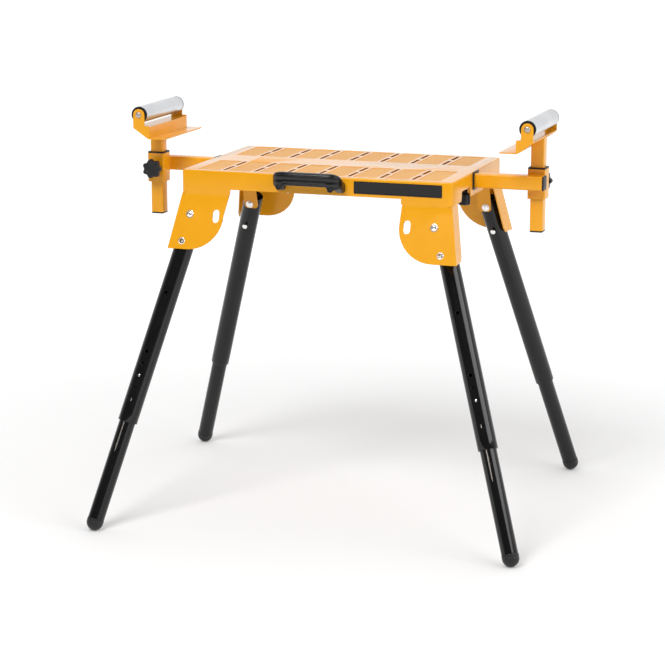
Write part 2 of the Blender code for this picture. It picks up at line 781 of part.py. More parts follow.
def roller_end():
    """Half length of the roller with its caps."""
    return HEAD_LENGTH / 2 - HEAD_SHEET - RUN


def roller():
    half = roller_end() - ROLLER_CAP - GAP
    bore = ROLLER_RADIUS - ROLLER_WALL
    profile = [(ROLLER_RADIUS, -half), (ROLLER_RADIUS, half), (bore, half), (bore, -half)]
    return lathe(profile, "Y", 28, closed=True)


def roller_cap(direction):
    """Cap plugged into one end of the roller, running on the axle."""
    outside = direction * roller_end()
    face = outside - direction * ROLLER_CAP
    plug = ROLLER_RADIUS - ROLLER_WALL - GAP
    hole = AXLE_RADIUS + GAP
    inside = face - direction * ROLLER_CAP_PLUG
    profile = [(hole, inside), (plug, inside), (plug, face), (ROLLER_RADIUS, face)]
    profile += [(ROLLER_RADIUS, outside), (hole, outside)]
    return lathe(profile, "Y", 20, closed=True)


def roller_axle():
    end = HEAD_LENGTH / 2 + GAP
    profile = [(0, -end - AXLE_HEAD), (AXLE_HEAD_RADIUS, -end - AXLE_HEAD), (AXLE_HEAD_RADIUS, -end)]
    profile += [(AXLE_RADIUS, -end), (AXLE_RADIUS, end), (AXLE_HEAD_RADIUS, end)]
    profile += [(AXLE_HEAD_RADIUS, end + AXLE_HEAD), (0, end + AXLE_HEAD)]
    return lathe(profile, "Y", 16)


def knob(radius, lobes, lobe_depth, thick, neck, stud, direction, axis):
    """Lobed knob with a neck and a threaded stud. Height 0 is the face that the neck stands on."""
    rings = []
    for scale, height in ((0.9, neck), (1.0, neck + 0.002), (1.0, neck + thick - 0.003), (0.84, neck + thick)):
        ring = []
        for i in range(6 * lobes):
            turn = 2 * math.pi * i / (6 * lobes)
            reach = scale * (radius + lobe_depth * math.cos(lobes * turn))
            ring.append(along(axis, reach * math.cos(turn), reach * math.sin(turn), direction * height))
        rings.append(ring)
    shaft = [(0, -stud), (STUD_RADIUS, -stud), (STUD_RADIUS, GAP), (BOSS_RADIUS, GAP)]
    shaft += [(BOSS_RADIUS, neck + thick / 2), (0, neck + thick / 2)]
    shaft = lathe([(r, direction * height) for r, height in shaft], axis, 16)
    return joined(skin(rings), shaft)


def carry_handle():
    """Arched grip. Origin on the apron face between its feet."""
    points = []
    for i in range(HANDLE_STATIONS):
        turn = math.pi * i / (HANDLE_STATIONS - 1)
        across = abs(math.cos(turn)) ** HANDLE_SQUARENESS
        reach = max(math.sin(turn), 0) ** HANDLE_SQUARENESS
        x = -HANDLE_HALF * across if turn < math.pi / 2 else HANDLE_HALF * across
        lift = HANDLE_RISE * reach * reach * (3 - 2 * reach)
        points.append((x, -GAP - HANDLE_REACH * reach, lift))
    rings = []
    for i, (x, y, z) in enumerate(points):
        before = points[max(i - 1, 0)]
        after = points[min(i + 1, len(points) - 1)]
        heading = math.atan2(after[1] - before[1], after[0] - before[0])
        if i in (0, len(points) - 1):
            heading = -math.pi / 2 if i == 0 else math.pi / 2
        ring = []
        for k in range(12):
            turn = 2 * math.pi * k / 12
            side = HANDLE_HALF_DEPTH * math.copysign(abs(math.cos(turn)) ** 0.7, math.cos(turn))
            rise = HANDLE_HALF_HEIGHT * math.copysign(abs(math.sin(turn)) ** 0.7, math.sin(turn))
            ring.append((x - side * math.sin(heading), y + side * math.cos(heading), z + rise))
        rings.append(ring)
    return skin(rings)


def blank_plate():
    return prism(rounded(PLATE_LENGTH, PLATE_HEIGHT, 0.002), -GAP - PLATE_THICK, -GAP, "Y")


def leg_kinds():
    """The two leg kinds of a half: outward direction, pivot, axis depth, splay and where they stand."""
    yield "A", -1, PIVOT_A_X, AXIS_A, SPLAY_A, ("front_left", "rear_right")
    yield "B", 1, PIVOT_B_X, AXIS_B, SPLAY_B, ("front_right", "rear_left")


def build():
    clear_scene()
    orange = paint("orange_paint", (0.86, 0.36, 0.014), 0.28, 0.0)
    black = paint("black_paint", (0.012, 0.012, 0.013), 0.25, 0.0)
    plastic = paint("black_plastic", (0.018, 0.018, 0.02), 0.5, 0.0)
    rubber = paint("black_rubber", (0.014, 0.014, 0.014), 0.8, 0.0)
    zinc = paint("zinc_steel", (0.62, 0.62, 0.6), 0.3, 1.0)
    silver = paint("roller_aluminium", (0.78, 0.79, 0.8), 0.28, 1.0)

    halves = (half_frame("front_half", 0), half_frame("rear_half", math.pi))
    sides = ("right", "left")

    put("table_top", mesh_of("table_top", table_top(), orange), None, Matrix())
    grip = Matrix.Translation((HANDLE_X, -FRONT_Y, HANDLE_FOOT_Z))
    put("carry_handle", mesh_of("carry_handle", carry_handle(), plastic), None, grip)
    label = Matrix.Translation((PLATE_X, -FRONT_Y, PLATE_Z))
    put("blank_plate", mesh_of("blank_plate", blank_plate(), plastic), None, label)

    upper = mesh_of("upper_leg", upper_leg(), black)
    lower = mesh_of("lower_leg", lower_leg(), black)
    foot_mesh = mesh_of("foot", foot(), rubber)
    button = mesh_of("snap_button", snap_button(), zinc)
    button_place = Matrix.Translation((0, 0, -HOLE_FIRST - HOLE_USED * HOLE_PITCH))
    pin_place = Matrix.Translation((0, 0, -LOCK_RADIUS))
    for kind, out, pivot_x, depth, splay, corners in leg_kinds():
        bracket = mesh_of("leg_bracket_" + kind, leg_bracket(out, pivot_x, depth), orange)
        bolt = mesh_of("pivot_bolt_" + kind, pivot_bolt(depth), zinc)
        pin = mesh_of("lock_pin_" + kind, lock_pin(depth), zinc)
        hinge = CORNER @ Matrix.Translation((out * pivot_x, 0, -PIVOT_DROP))
        leg = hinge @ Matrix.Translation((0, depth, 0)) @ Matrix.Rotation(-out * splay, 4, "Y")
        for half, corner in zip(halves, corners):
            put("leg_bracket_" + corner, bracket, half, Matrix())
            put("pivot_bolt_" + corner, bolt, half, hinge)
            put("upper_leg_" + corner, upper, half, leg)
            put("lower_leg_" + corner, lower, half, leg)
            put("foot_" + corner, foot_mesh, half, leg)
            put("snap_button_" + corner, button, half, leg @ button_place)
            put("lock_pin_" + corner, pin, half, leg @ pin_place)

    arm_place = Matrix.Translation((0, -ARM_Y, ARM_Z))
    post_place = Matrix.Translation((POST_X, POST_Y, 0))
    axle_place = Matrix.Translation((POST_X, POST_Y, ROLLER_Z))
    post_knob_y = POST_Y + SLEEVE_SIZE / 2 + BOSS_HEIGHT
    post_knob_place = Matrix.Translation((POST_X, post_knob_y, POST_KNOB_Z))
    arm_knob_z = ARM_Z - GUIDE_SIZE / 2 - BOSS_HEIGHT
    arm_knob_place = Matrix.Translation((ARM_KNOB_X, -ARM_Y, arm_knob_z))
    post_stud = post_knob_y - POST_Y - POST_SIZE / 2 - RUN
    arm_stud = ARM_Z - ARM_SIZE / 2 - RUN - arm_knob_z
    post_knob = knob(
        POST_KNOB_RADIUS, POST_KNOB_LOBES, POST_KNOB_LOBE_DEPTH, POST_KNOB_THICK, POST_KNOB_NECK, post_stud, 1, "Y"
    )
    arm_knob = knob(
        ARM_KNOB_RADIUS, ARM_KNOB_LOBES, ARM_KNOB_LOBE_DEPTH, ARM_KNOB_THICK, ARM_KNOB_NECK, arm_stud, -1, "Z"
    )
    post_foot = tube_plug(POST_SIZE, POST_WALL, POST_BOTTOM, -1, "Z")
    arm_cap = tube_plug(ARM_SIZE, ARM_WALL, ARM_END_X, 1, "X")
    pieces = [
        ("arm_guide", arm_guide(), orange, arm_place),
        ("guide_bush", guide_bush(), plastic, arm_place),
        ("extension_arm", extension_arm(), orange, arm_place),
        ("arm_plug", arm_cap, plastic, arm_place),
        ("post_bush", post_bush(), plastic, post_place),
        ("support_post", support_post(), orange, post_place),
        ("post_plug", post_foot, plastic, post_place),
        ("roller_head", roller_head(), orange, post_place),
        ("roller_axle", roller_axle(), zinc, axle_place),
        ("roller", roller(), silver, axle_place),
        ("roller_cap_near", roller_cap(-1), plastic, axle_place),
        ("roller_cap_far", roller_cap(1), plastic, axle_place),
        ("post_knob", post_knob, plastic, post_knob_place),
        ("arm_knob", arm_knob, plastic, arm_knob_place),
    ]
    for name, solid, finish, place in pieces:
        mesh = mesh_of(name, solid, finish)
        for half, side in zip(halves, sides):
            put(name + "_" + side, mesh, half, place)


build()
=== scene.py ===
# %% [markdown]
# # A folding miter saw stand, dressed for its portrait
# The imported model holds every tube, bracket and joint at its real size. This lesson loads it as a frame
# and gives each piece its finished surface: powder coat, moulded plastic, rubber, zinc and drawn
# aluminium. Every new surface is worked out with numpy and rides on the body that carries it, so the
# dressed stand still folds, slides and turns.

# %% Load the frame
import json
import math

import bmesh
import bpy
import numpy as np
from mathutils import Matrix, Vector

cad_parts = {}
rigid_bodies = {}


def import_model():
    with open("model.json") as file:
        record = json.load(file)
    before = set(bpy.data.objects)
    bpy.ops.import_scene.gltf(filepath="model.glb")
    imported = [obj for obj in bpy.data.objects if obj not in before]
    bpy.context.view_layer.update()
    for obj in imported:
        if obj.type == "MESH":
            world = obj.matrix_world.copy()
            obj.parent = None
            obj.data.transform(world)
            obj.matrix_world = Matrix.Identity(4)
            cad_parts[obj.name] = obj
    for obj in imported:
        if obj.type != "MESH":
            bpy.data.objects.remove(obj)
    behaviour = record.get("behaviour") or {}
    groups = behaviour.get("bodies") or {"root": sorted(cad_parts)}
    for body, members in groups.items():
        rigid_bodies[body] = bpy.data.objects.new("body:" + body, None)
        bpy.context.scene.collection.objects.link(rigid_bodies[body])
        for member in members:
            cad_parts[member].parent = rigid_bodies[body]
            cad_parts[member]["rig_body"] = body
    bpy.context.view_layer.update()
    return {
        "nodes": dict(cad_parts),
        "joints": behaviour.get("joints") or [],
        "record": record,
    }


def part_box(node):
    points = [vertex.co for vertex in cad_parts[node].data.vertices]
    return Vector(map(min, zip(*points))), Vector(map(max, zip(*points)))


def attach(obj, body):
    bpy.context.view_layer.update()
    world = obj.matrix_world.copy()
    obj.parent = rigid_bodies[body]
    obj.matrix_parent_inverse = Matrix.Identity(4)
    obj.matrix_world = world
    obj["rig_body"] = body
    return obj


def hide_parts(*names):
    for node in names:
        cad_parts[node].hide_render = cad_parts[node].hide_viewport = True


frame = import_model()
joints = {joint["name"]: joint for joint in frame["joints"]}
CORNERS = ("front_left", "front_right", "rear_right", "rear_left")
SIDES = ("right", "left")
MM = 0.001

# %% [markdown]
# ## From arrays to meshes
# Tubes, bolts and knobs could be built from Blender's primitives and edited by hand. Here a surface is a
# grid of points, rows by columns, filled by a formula, so that its sizes can be read in the script. The
# faces follow from the grid's shape alone. Points that meet at a pole or a seam are merged, because an
# open seam shows as a dark line on a smooth surface.

# %% From grids to pieces
MERGE_GAP = 1e-6
NO_LENGTH = 1e-7
SMOOTH_ANGLE = 35
slot_of_finish = {}


def grid_faces(rows, columns, loop=False):
    """Corner numbers of a grid's quads: cell (i, j) joins rows i, i+1 and columns j, j+1.

    The last column meets the first one, and with loop the last row does too.
    """
    i, j = np.meshgrid(np.arange(rows if loop else rows - 1), np.arange(columns), indexing="ij")
    below = i.ravel() * columns
    above = ((i + 1) % rows).ravel() * columns
    here = j.ravel()
    beside = ((j + 1) % columns).ravel()
    return np.stack([below + here, below + beside, above + beside, above + here], axis=1)


def grid_part(grid, loop=False):
    """A grid of points (rows, columns, 3) as a pair of points and faces."""
    return grid.reshape(-1, 3), grid_faces(*grid.shape[:2], loop)


def smooth(mesh, angle):
    """Shades a mesh smooth, but keeps edges that turn more than the angle in degrees sharp."""
    mesh.shade_smooth()
    mesh.set_sharp_from_angle(angle=math.radians(angle))


def part_mesh(name, parts):
    """One mesh from pairs of points and faces, with its seams merged and its faces turned outwards."""
    starts = np.cumsum([0] + [len(points) for points, _ in parts])
    points = np.concatenate([points for points, _ in parts])
    faces = np.concatenate([faces + start for (_, faces), start in zip(parts, starts)])
    mesh = bpy.data.meshes.new(name)
    mesh.from_pydata(points.tolist(), [], faces.tolist())
    bm = bmesh.new()
    bm.from_mesh(mesh)
    bmesh.ops.remove_doubles(bm, verts=bm.verts, dist=MERGE_GAP)
    bmesh.ops.dissolve_degenerate(bm, dist=NO_LENGTH, edges=bm.edges)
    bmesh.ops.recalc_face_normals(bm, faces=bm.faces)
    bm.to_mesh(mesh)
    bm.free()
    smooth(mesh, SMOOTH_ANGLE)
    return mesh


def new_object(name, data):
    """An object for a mesh, lamp or camera, linked to the scene."""
    made = bpy.data.objects.new(name, data)
    bpy.context.scene.collection.objects.link(made)
    return made


def place_piece(mesh, body, finish, node=None):
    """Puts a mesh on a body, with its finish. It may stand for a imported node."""
    piece = new_object(mesh.name, mesh)
    mesh.materials.append(finish)
    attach(piece, body)
    if node:
        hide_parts(node)
    return piece


def add_piece(name, parts, body, finish, node=None):
    """Makes a piece from pairs of points and faces."""
    place_piece(part_mesh(name, parts), body, finish, node)


print("grid helpers ready")

# %% [markdown]
# ## How a finish is built
# A flat colour looks like a computer picture, because no real skin is even. Image textures would need
# files and UV maps, so each finish here is built from noise on Object coordinates, in metres. A slow,
# cloudy noise shifts the colour a little. A fine one varies the roughness and raises a slight bump.

# %% Texture helpers
CLOUD_WAVES = 14
COAT_ROUGHNESS = 0.08
RAMP_STOPS = (0.3, 0.7)


def with_nodes(made):
    """A material or a world with its nodes switched on, and its node and link lists."""
    made.use_nodes = True
    return made, made.node_tree.nodes, made.node_tree.links


def noise(nodes, links, waves, detail, stretch=(1, 1, 1)):
    """Noise on Object coordinates, with its scale in waves per metre."""
    place = nodes.new("ShaderNodeTexCoord")
    mapping = nodes.new("ShaderNodeMapping")
    mapping.inputs["Scale"].default_value = stretch
    links.new(place.outputs["Object"], mapping.inputs["Vector"])
    field = nodes.new("ShaderNodeTexNoise")
    field.inputs["Scale"].default_value = waves
    field.inputs["Detail"].default_value = detail
    links.new(mapping.outputs["Vector"], field.inputs["Vector"])
    return field.outputs["Fac"]


def ramp(nodes, links, value, low, high):
    """A colour ramp from low to high over the middle of a field's range."""
    step = nodes.new("ShaderNodeValToRGB")
    for stop, position, colour in zip(step.color_ramp.elements, RAMP_STOPS, (low, high)):
        stop.position = position
        stop.color = (*colour, 1)
    links.new(value, step.inputs["Fac"])
    return step.outputs["Color"]


def spread(nodes, links, value, low, high, first=0, last=1):
    """Maps a field that runs from first to last onto the range from low to high."""
    step = nodes.new("ShaderNodeMapRange")
    for name, number in (("From Min", first), ("From Max", last), ("To Min", low), ("To Max", high)):
        step.inputs[name].default_value = number
    links.new(value, step.inputs["Value"])
    return step.outputs["Result"]


def bump(nodes, links, value, height):
    """Bump from a field, with its height in metres."""
    step = nodes.new("ShaderNodeBump")
    step.inputs["Strength"].default_value = 1.0
    step.inputs["Distance"].default_value = height
    links.new(value, step.inputs["Height"])
    return step.outputs["Normal"]


def skin(name, slot, low, high, rough, peel, coat=0, metallic=0, grain=420, stretch=(1, 1, 1), gloss=0.5):
    """A finish whose colour drifts from low to high, with a roughness range and a bump of peel metres."""
    made, nodes, links = with_nodes(bpy.data.materials.new(name))
    shader = nodes["Principled BSDF"]
    shader.inputs["Metallic"].default_value = metallic
    shader.inputs["Specular IOR Level"].default_value = gloss
    shader.inputs["Coat Weight"].default_value = coat
    shader.inputs["Coat Roughness"].default_value = COAT_ROUGHNESS
    cloud = noise(nodes, links, CLOUD_WAVES, detail=4)
    links.new(ramp(nodes, links, cloud, low, high), shader.inputs["Base Color"])
    fine = noise(nodes, links, grain, detail=2, stretch=stretch)
    links.new(spread(nodes, links, fine, *rough), shader.inputs["Roughness"])
    links.new(bump(nodes, links, fine, peel), shader.inputs["Normal"])
    slot_of_finish[name] = slot
    return made


print("finish helpers ready")

# %% [markdown]
# ## Powder coats
# Powder coat is a thick paint that is baked on and melts into a slightly wavy skin, with a faint orange
# peel. One orange could serve the whole table. But the top shines more and its pressed panels have a grip
# grain, so each has its own mix. The inside of the pan and the slot edges get darker mixes, painted shade
# for the little light that reaches them. The legs are black.

# %% Powder coats
ORANGE = "orange_paint"
orange_coat = skin(
    "orange_powder_coat", ORANGE, (0.86, 0.372, 0.004), (0.90, 0.40, 0.007),
    (0.20, 0.30), 0.03 * MM, gloss=0.42,
)
deck_coat = skin(
    "orange_deck_gloss", ORANGE, (0.82, 0.345, 0.010), (0.87, 0.375, 0.014),
    (0.24, 0.34), 0.03 * MM, coat=0.75,
)
panel_coat = skin(
    "orange_panel_grip", ORANGE, (0.74, 0.33, 0.03), (0.80, 0.38, 0.045),
    (0.42, 0.60), 0.12 * MM, coat=0.1, grain=600,
)
# painted shade: a darker orange for the inside of the pan, where little light reaches
pan_painted_shade = skin(
    "orange_pan_painted_shade", ORANGE, (0.40, 0.150, 0.004), (0.48, 0.185, 0.007),
    (0.34, 0.48), 0.04 * MM, gloss=0.3,
)
# painted shade: a dark brown for the slot walls, standing in for the shade inside the slots
slot_painted_shade = skin(
    "orange_slot_painted_shade", ORANGE, (0.26, 0.085, 0.008), (0.32, 0.110, 0.010),
    (0.40, 0.55), 0.03 * MM, gloss=0.2,
)
black_coat = skin(
    "black_powder_coat", "black_paint", (0.004, 0.004, 0.0045), (0.007, 0.007, 0.0075),
    (0.10, 0.16), 0.02 * MM, gloss=0.40,
)
print("powder coats:", len(slot_of_finish))

# %% [markdown]
# ## Plastic and rubber
# The bushes, plugs and knobs come from a spark-eroded mould and have its fine grain. The handle and the
# plate are polished, and the feet are soft rubber. All four are nearly black, and told apart by roughness
# and grain more than by colour.

# %% Plastic and rubber
PLASTIC = "black_plastic"
black_grain = skin(
    "black_moulded_plastic", PLASTIC, (0.010, 0.010, 0.012), (0.018, 0.018, 0.020),
    (0.36, 0.52), 0.08 * MM, grain=1500, gloss=0.3,
)
black_grip = skin(
    "black_grip_gloss", PLASTIC, (0.004, 0.004, 0.005), (0.007, 0.007, 0.008),
    (0.16, 0.26), 0.04 * MM, grain=1500, gloss=0.42,
)
black_rubber = skin(
    "black_foot_rubber", "black_rubber", (0.012, 0.012, 0.012), (0.018, 0.018, 0.018),
    (0.38, 0.52), 0.10 * MM, grain=900, gloss=0.4,
)
plate_gloss = skin(
    "blank_plate_gloss", PLASTIC, (0.006, 0.006, 0.007), (0.010, 0.010, 0.011),
    (0.12, 0.20), 0.02 * MM, gloss=0.3,
)
print("finishes so far:", len(slot_of_finish))

# %% [markdown]
# ## Metals
# The bolts are zinc plated, with a cloudy shine. The roller axles and the light lines down the legs are
# duller steel. The roller is drawn aluminium. A picture of brushed metal would need a UV map, so its
# noise is squeezed along the roller's axis, into hair-thin lines round it.

# %% Metals
zinc = skin(
    "zinc_plate", "zinc_steel", (0.82, 0.82, 0.80), (0.92, 0.92, 0.91),
    (0.14, 0.26), 0.03 * MM, metallic=1, grain=700,
)
dull_steel = skin(
    "dull_axle_steel", "zinc_steel", (0.44, 0.40, 0.36), (0.54, 0.50, 0.46),
    (0.34, 0.48), 0.03 * MM, metallic=1, grain=700,
)
drawn = skin(
    "drawn_aluminium", "roller_aluminium", (0.61, 0.62, 0.64), (0.70, 0.71, 0.73),
    (0.24, 0.38), 0.02 * MM, metallic=1, grain=60, stretch=(8, 60, 8),
)
print("finishes:", len(slot_of_finish))

# %% [markdown]
# ## Sheet metal pieces
# The deck, brackets, roller heads and guides are folded sheet. They could be drawn again from formulas,
# but their solids are already right. So each is copied, its triangles are merged into flat faces, and a
# small Bevel rolls every edge as thick paint does on real sheet.

# %% Dress the sheet pieces
COPY_GAP = 2e-6
FLAT_ANGLE = 1
EDGE_ANGLE = 40


def dress(node, finish, edge):
    """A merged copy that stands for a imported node, with its edges rolled over a given width."""
    source = frame["nodes"][node]
    mesh = source.data.copy()
    mesh.name = node + "_dressed"
    mesh.materials.clear()
    bm = bmesh.new()
    bm.from_mesh(mesh)
    bmesh.ops.remove_doubles(bm, verts=bm.verts, dist=COPY_GAP)
    bmesh.ops.dissolve_limit(bm, angle_limit=math.radians(FLAT_ANGLE), verts=bm.verts, edges=bm.edges)
    bm.to_mesh(mesh)
    bm.free()
    smooth(mesh, EDGE_ANGLE)
    piece = place_piece(mesh, source["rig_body"], finish, node)
    roll = piece.modifiers.new("rolled_edge", "BEVEL")
    roll.width = edge
    roll.segments = 2
    roll.limit_method = "ANGLE"
    roll.angle_limit = math.radians(EDGE_ANGLE)
    roll.harden_normals = True
    return piece


deck = dress("table_top", orange_coat, 0.3 * MM)
for corner in CORNERS:
    dress("leg_bracket_" + corner, orange_coat, 0.5 * MM)
heads = {}
for side in SIDES:
    heads[side] = dress("roller_head_" + side, orange_coat, 0.5 * MM)
    dress("arm_guide_" + side, orange_coat, 0.4 * MM)
print("sheet pieces dressed:", 1 + len(CORNERS) + 2 * len(SIDES))

# %% [markdown]
# ## Which coat goes where
# One sheet shows several coats: a glossy top, panels with grip, and a darker inside and darker slot edges,
# which are painted shade. Separate objects would open seams, so the faces of the one mesh are sorted by the
# way they look and by their level. The tops of the roller heads are as glossy as the deck.

# %% Sort the faces of the deck and the roller heads
PANEL, TOP, INSIDE_SHADE, SLOT_EDGE_SHADE = 1, 2, 3, 4
PANEL_DEPTH = 0.8 * MM
SHEET = 2 * MM
NEAR = 0.3 * MM
SLOTTED_HALF = 0.185
LEVEL = 0.9
UPRIGHT = 0.3
ROOF = 0.6
for coat in (panel_coat, deck_coat, pan_painted_shade, slot_painted_shade):
    deck.data.materials.append(coat)
deck_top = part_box("table_top")[1].z
for face in deck.data.polygons:
    level = face.center.z - deck_top
    looks_in = face.normal.x * face.center.x + face.normal.y * face.center.y < 0
    in_sheet = abs(level + SHEET / 2) < NEAR and abs(face.center.y) < SLOTTED_HALF
    if face.normal.z > LEVEL and abs(level + PANEL_DEPTH) < NEAR:
        face.material_index = PANEL
    elif face.normal.z > LEVEL and abs(level) < NEAR:
        face.material_index = TOP
    # painted shade: the upright walls inside the sheet take the dark slot coat
    elif abs(face.normal.z) < UPRIGHT and in_sheet:
        face.material_index = SLOT_EDGE_SHADE
    # painted shade: downward faces, and inward faces below the sheet, take the dark pan coat
    elif face.normal.z < -LEVEL or (looks_in and level < -SHEET):
        face.material_index = INSIDE_SHADE
for head in heads.values():
    head.data.materials.append(deck_coat)
    for face in head.data.polygons:
        face.material_index = 1 if face.normal.z > ROOF else 0
print("deck coats:", [coat.name for coat in deck.data.materials])

# %% [markdown]
# ## Where the legs stand
# Each leg hangs from its fold pivot. Its place could be copied here as numbers, but then a change to the
# model would leave the legs behind. So the joints of the frame give the pivot, the way down the tube and
# the way out through the bracket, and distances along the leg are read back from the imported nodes.

# %% Leg frames


def unit(vector):
    """A vector of length 1 in the same direction."""
    vector = np.asarray(vector, float)
    return vector / np.linalg.norm(vector)


def reach_of(node, origin, direction):
    """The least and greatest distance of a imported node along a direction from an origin."""
    mesh = frame["nodes"][node].data
    flat = np.empty(3 * len(mesh.vertices))
    mesh.vertices.foreach_get("co", flat)
    along = (flat.reshape(-1, 3) - origin) @ direction
    return along.min(), along.max()


legs = {}
for corner in CORNERS:
    pivot = np.array(joints["leg_fold_" + corner]["pos_m"], float)
    down = unit(joints["leg_height_" + corner]["axis"])
    out = unit(joints["snap_button_" + corner]["axis"])
    legs[corner] = (pivot, down, out)
print("leg directions:", {corner: np.round(leg[1], 3).tolist() for corner, leg in legs.items()})

# %% [markdown]
# ## Bends below the apron
# Each bracket plate leaves the apron in a soft bend, and paint fills the joint between the two sheets. A
# Bevel can't round a joint between two pieces, so a thin strip follows it: down the apron, through the
# plate's tilt on a quadratic curve, and onto the plate. Its back lies inside the sheets.

# %% Bends below the apron
BEND_DROP = 50.5 * MM
PLATE_INSET = 2.3 * MM
BEND_REACH = 8 * MM
STRIP_PROUD = 0.1 * MM
STRIP_DEPTH = 1 * MM
PLATE_WIDTH = 107.5 * MM
PLATE_ARC = 76 * MM
PIVOT_DROP = 45.5 * MM
TABLE_CORNER = 7.5 * MM
table_end, half_depth, table_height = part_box("table_top")[1]


def bend_strip(corner):
    """A closed strip on (1-t)^2 S + 2t(1-t) K + t^2 E: S on the apron, K at the bend, E on the plate."""
    pivot, _, plate_normal = legs[corner]
    tilt = math.asin(plate_normal[2])
    knee = np.array([half_depth + STRIP_PROUD, table_height - BEND_DROP - PLATE_INSET / math.tan(tilt)])
    start = knee + (0, BEND_REACH)
    end = knee + BEND_REACH * np.array([math.sin(tilt), -math.cos(tilt)])
    t = np.linspace(0, 1, 13)[:, None]
    curve = (1 - t) ** 2 * start + 2 * t * (1 - t) * knee + t**2 * end
    ring = np.concatenate([curve, curve[::-1] - (STRIP_DEPTH, 0)])
    part = np.concatenate([t, t[::-1]])[:, 0]
    fall = np.maximum(table_height - BEND_DROP - ring[:, 1], 0) / PIVOT_DROP
    inner = table_end - PLATE_WIDTH
    inner_x = inner + (abs(pivot[0]) - PLATE_ARC - inner) * fall
    outer_x = table_end - TABLE_CORNER * (1 - part) ** 2
    side_x, side_y = np.sign(pivot[:2])
    ends = [np.stack([side_x * x, side_y * ring[:, 0], ring[:, 1]], axis=1) for x in (inner_x, outer_x)]
    caps = [np.broadcast_to(row.mean(axis=0), row.shape) for row in ends]
    return grid_part(np.array([caps[0], ends[0], ends[1], caps[1]]))


for corner in CORNERS:
    add_piece("apron_bend_" + corner, [bend_strip(corner)], "stand", orange_coat)
print("bends below the apron:", len(CORNERS))

# %% [markdown]
# ## Tubes with drilled holes
# The legs are steel tube, drilled for the height button, a spare stop, the lock pin and the pivot bolt. A
# drill leaves a clean round edge that catches the light. A Boolean would cut it, but leaves thin faces
# that shade badly. So a square patch of the grid is left out, and rings of points are lofted into it,
# with a small chamfer.

# %% A drilled tube
TUBE_COLUMNS = 64
TUBE_ROWS = 26
OPPOSITE = TUBE_COLUMNS // 2
PATCH = 3
HOLE_CHAMFER = 0.45 * MM


def drilled_tube(leg, outer, inner, start, end, holes, capped=False):
    """A tube wall with round holes: P = O + s D + r (cos t U + sin t V), for r = outer and r = inner.

    leg holds O, the way down D and the way out U, and V is square to both. holes lists (distance, column,
    radius): round each, a square of the grid is swapped for rings that go from the outer wall over a
    chamfer to the inner wall. capped closes the ends with flat rings.
    """
    pivot, down, out = leg
    side = np.cross(down, out)
    step = 2 * np.pi * outer / TUBE_COLUMNS
    patches = [distance + step * np.arange(-PATCH, PATCH + 1) for distance, _, _ in holes]
    plain = np.linspace(start, end, TUBE_ROWS)
    for patch in patches:
        plain = plain[(plain < patch[0] - 0.5 * step) | (plain > patch[-1] + 0.5 * step)]
    rows = np.unique(np.round(np.concatenate([plain, [start, end], *patches]), 7))
    turn = 2 * np.pi * np.arange(TUBE_COLUMNS) / TUBE_COLUMNS
    count = len(rows) * TUBE_COLUMNS

    def place(radius, angle, distance):
        ring = np.cos(angle)[..., None] * out + np.sin(angle)[..., None] * side
        return pivot + distance[..., None] * down + radius * ring

    angles, distances = np.meshgrid(turn, rows)
    points = [place(radius, angles, distances).reshape(-1, 3) for radius in (outer, inner)]
    keep = np.ones((len(rows) - 1, TUBE_COLUMNS), bool)
    walk = np.arange(-PATCH, PATCH)
    rim_a = np.concatenate([walk, np.full(2 * PATCH, PATCH), -walk, np.full(2 * PATCH, -PATCH)])
    rim_b = np.concatenate([np.full(2 * PATCH, -PATCH), walk, np.full(2 * PATCH, PATCH), -walk])
    way = np.stack([rim_a, rim_b], axis=1) / np.hypot(rim_a, rim_b)[:, None]
    loop = np.arange(len(rim_a))
    faces = []
    total = 2 * count
    for distance, column, radius in holes:
        middle = int(np.argmin(np.abs(rows - distance)))
        keep[middle - PATCH : middle + PATCH, (column + walk) % TUBE_COLUMNS] = False
        rim = (middle + rim_b) * TUBE_COLUMNS + (column + rim_a) % TUBE_COLUMNS
        chain = [rim]
        levels = ((outer, radius + HOLE_CHAMFER), (outer - HOLE_CHAMFER, radius), (inner, radius))
        for wall, reach in levels:
            angle = turn[column] + reach * way[:, 0] / wall
            points.append(place(wall, angle, distance + reach * way[:, 1]))
            chain.append(total + loop)
            total += len(loop)
        chain.append(rim + count)
        for one, other in zip(chain, chain[1:]):
            faces.append(np.stack([one, np.roll(one, -1), np.roll(other, -1), other], axis=1))
    cells = grid_faces(len(rows), TUBE_COLUMNS)[keep.ravel()]
    faces += [cells, cells[:, ::-1] + count]
    for first in (0, count - TUBE_COLUMNS) if capped else ():
        one = first + np.arange(TUBE_COLUMNS)
        faces.append(np.stack([one, np.roll(one, -1), np.roll(one, -1) + count, one + count], axis=1))
    return np.concatenate(points), np.concatenate(faces)


print("a hole's patch is", 2 * PATCH, "cells wide")

# %% [markdown]
# ## Upper leg tubes
# The upper legs are black coated tube. Their ends are rolled over, and a lip inside the mouth guides the
# lower tube. A rolled end is a profile of radius and height carried round the tube's axis, which
# Blender's Screw could do as well. A grid keeps it in line with the columns of the drilled wall, so that
# the two merge.

# %% Upper leg tubes


def turned(profile, centre, axis, side, segments=48, shape=None, loop=False):
    """Carries (radius, height) points round an axis: P = C + h A + r s(t) (cos t U + sin t V).

    shape is a function s of t that scales the radius, such as a hexagon's. loop closes the profile.
    """
    profile = np.asarray(profile, float)
    axis = unit(axis)
    u = unit(side - axis * np.dot(side, axis))
    v = np.cross(axis, u)
    t = np.linspace(0, 2 * np.pi, segments, endpoint=False)
    scale = np.ones_like(t) if shape is None else shape(t)
    radius = profile[:, :1] * scale
    ring = np.cos(t)[:, None] * u + np.sin(t)[:, None] * v
    spots = np.asarray(centre) + profile[:, 1:] * axis
    return grid_part(spots[:, None] + radius[..., None] * ring, loop)


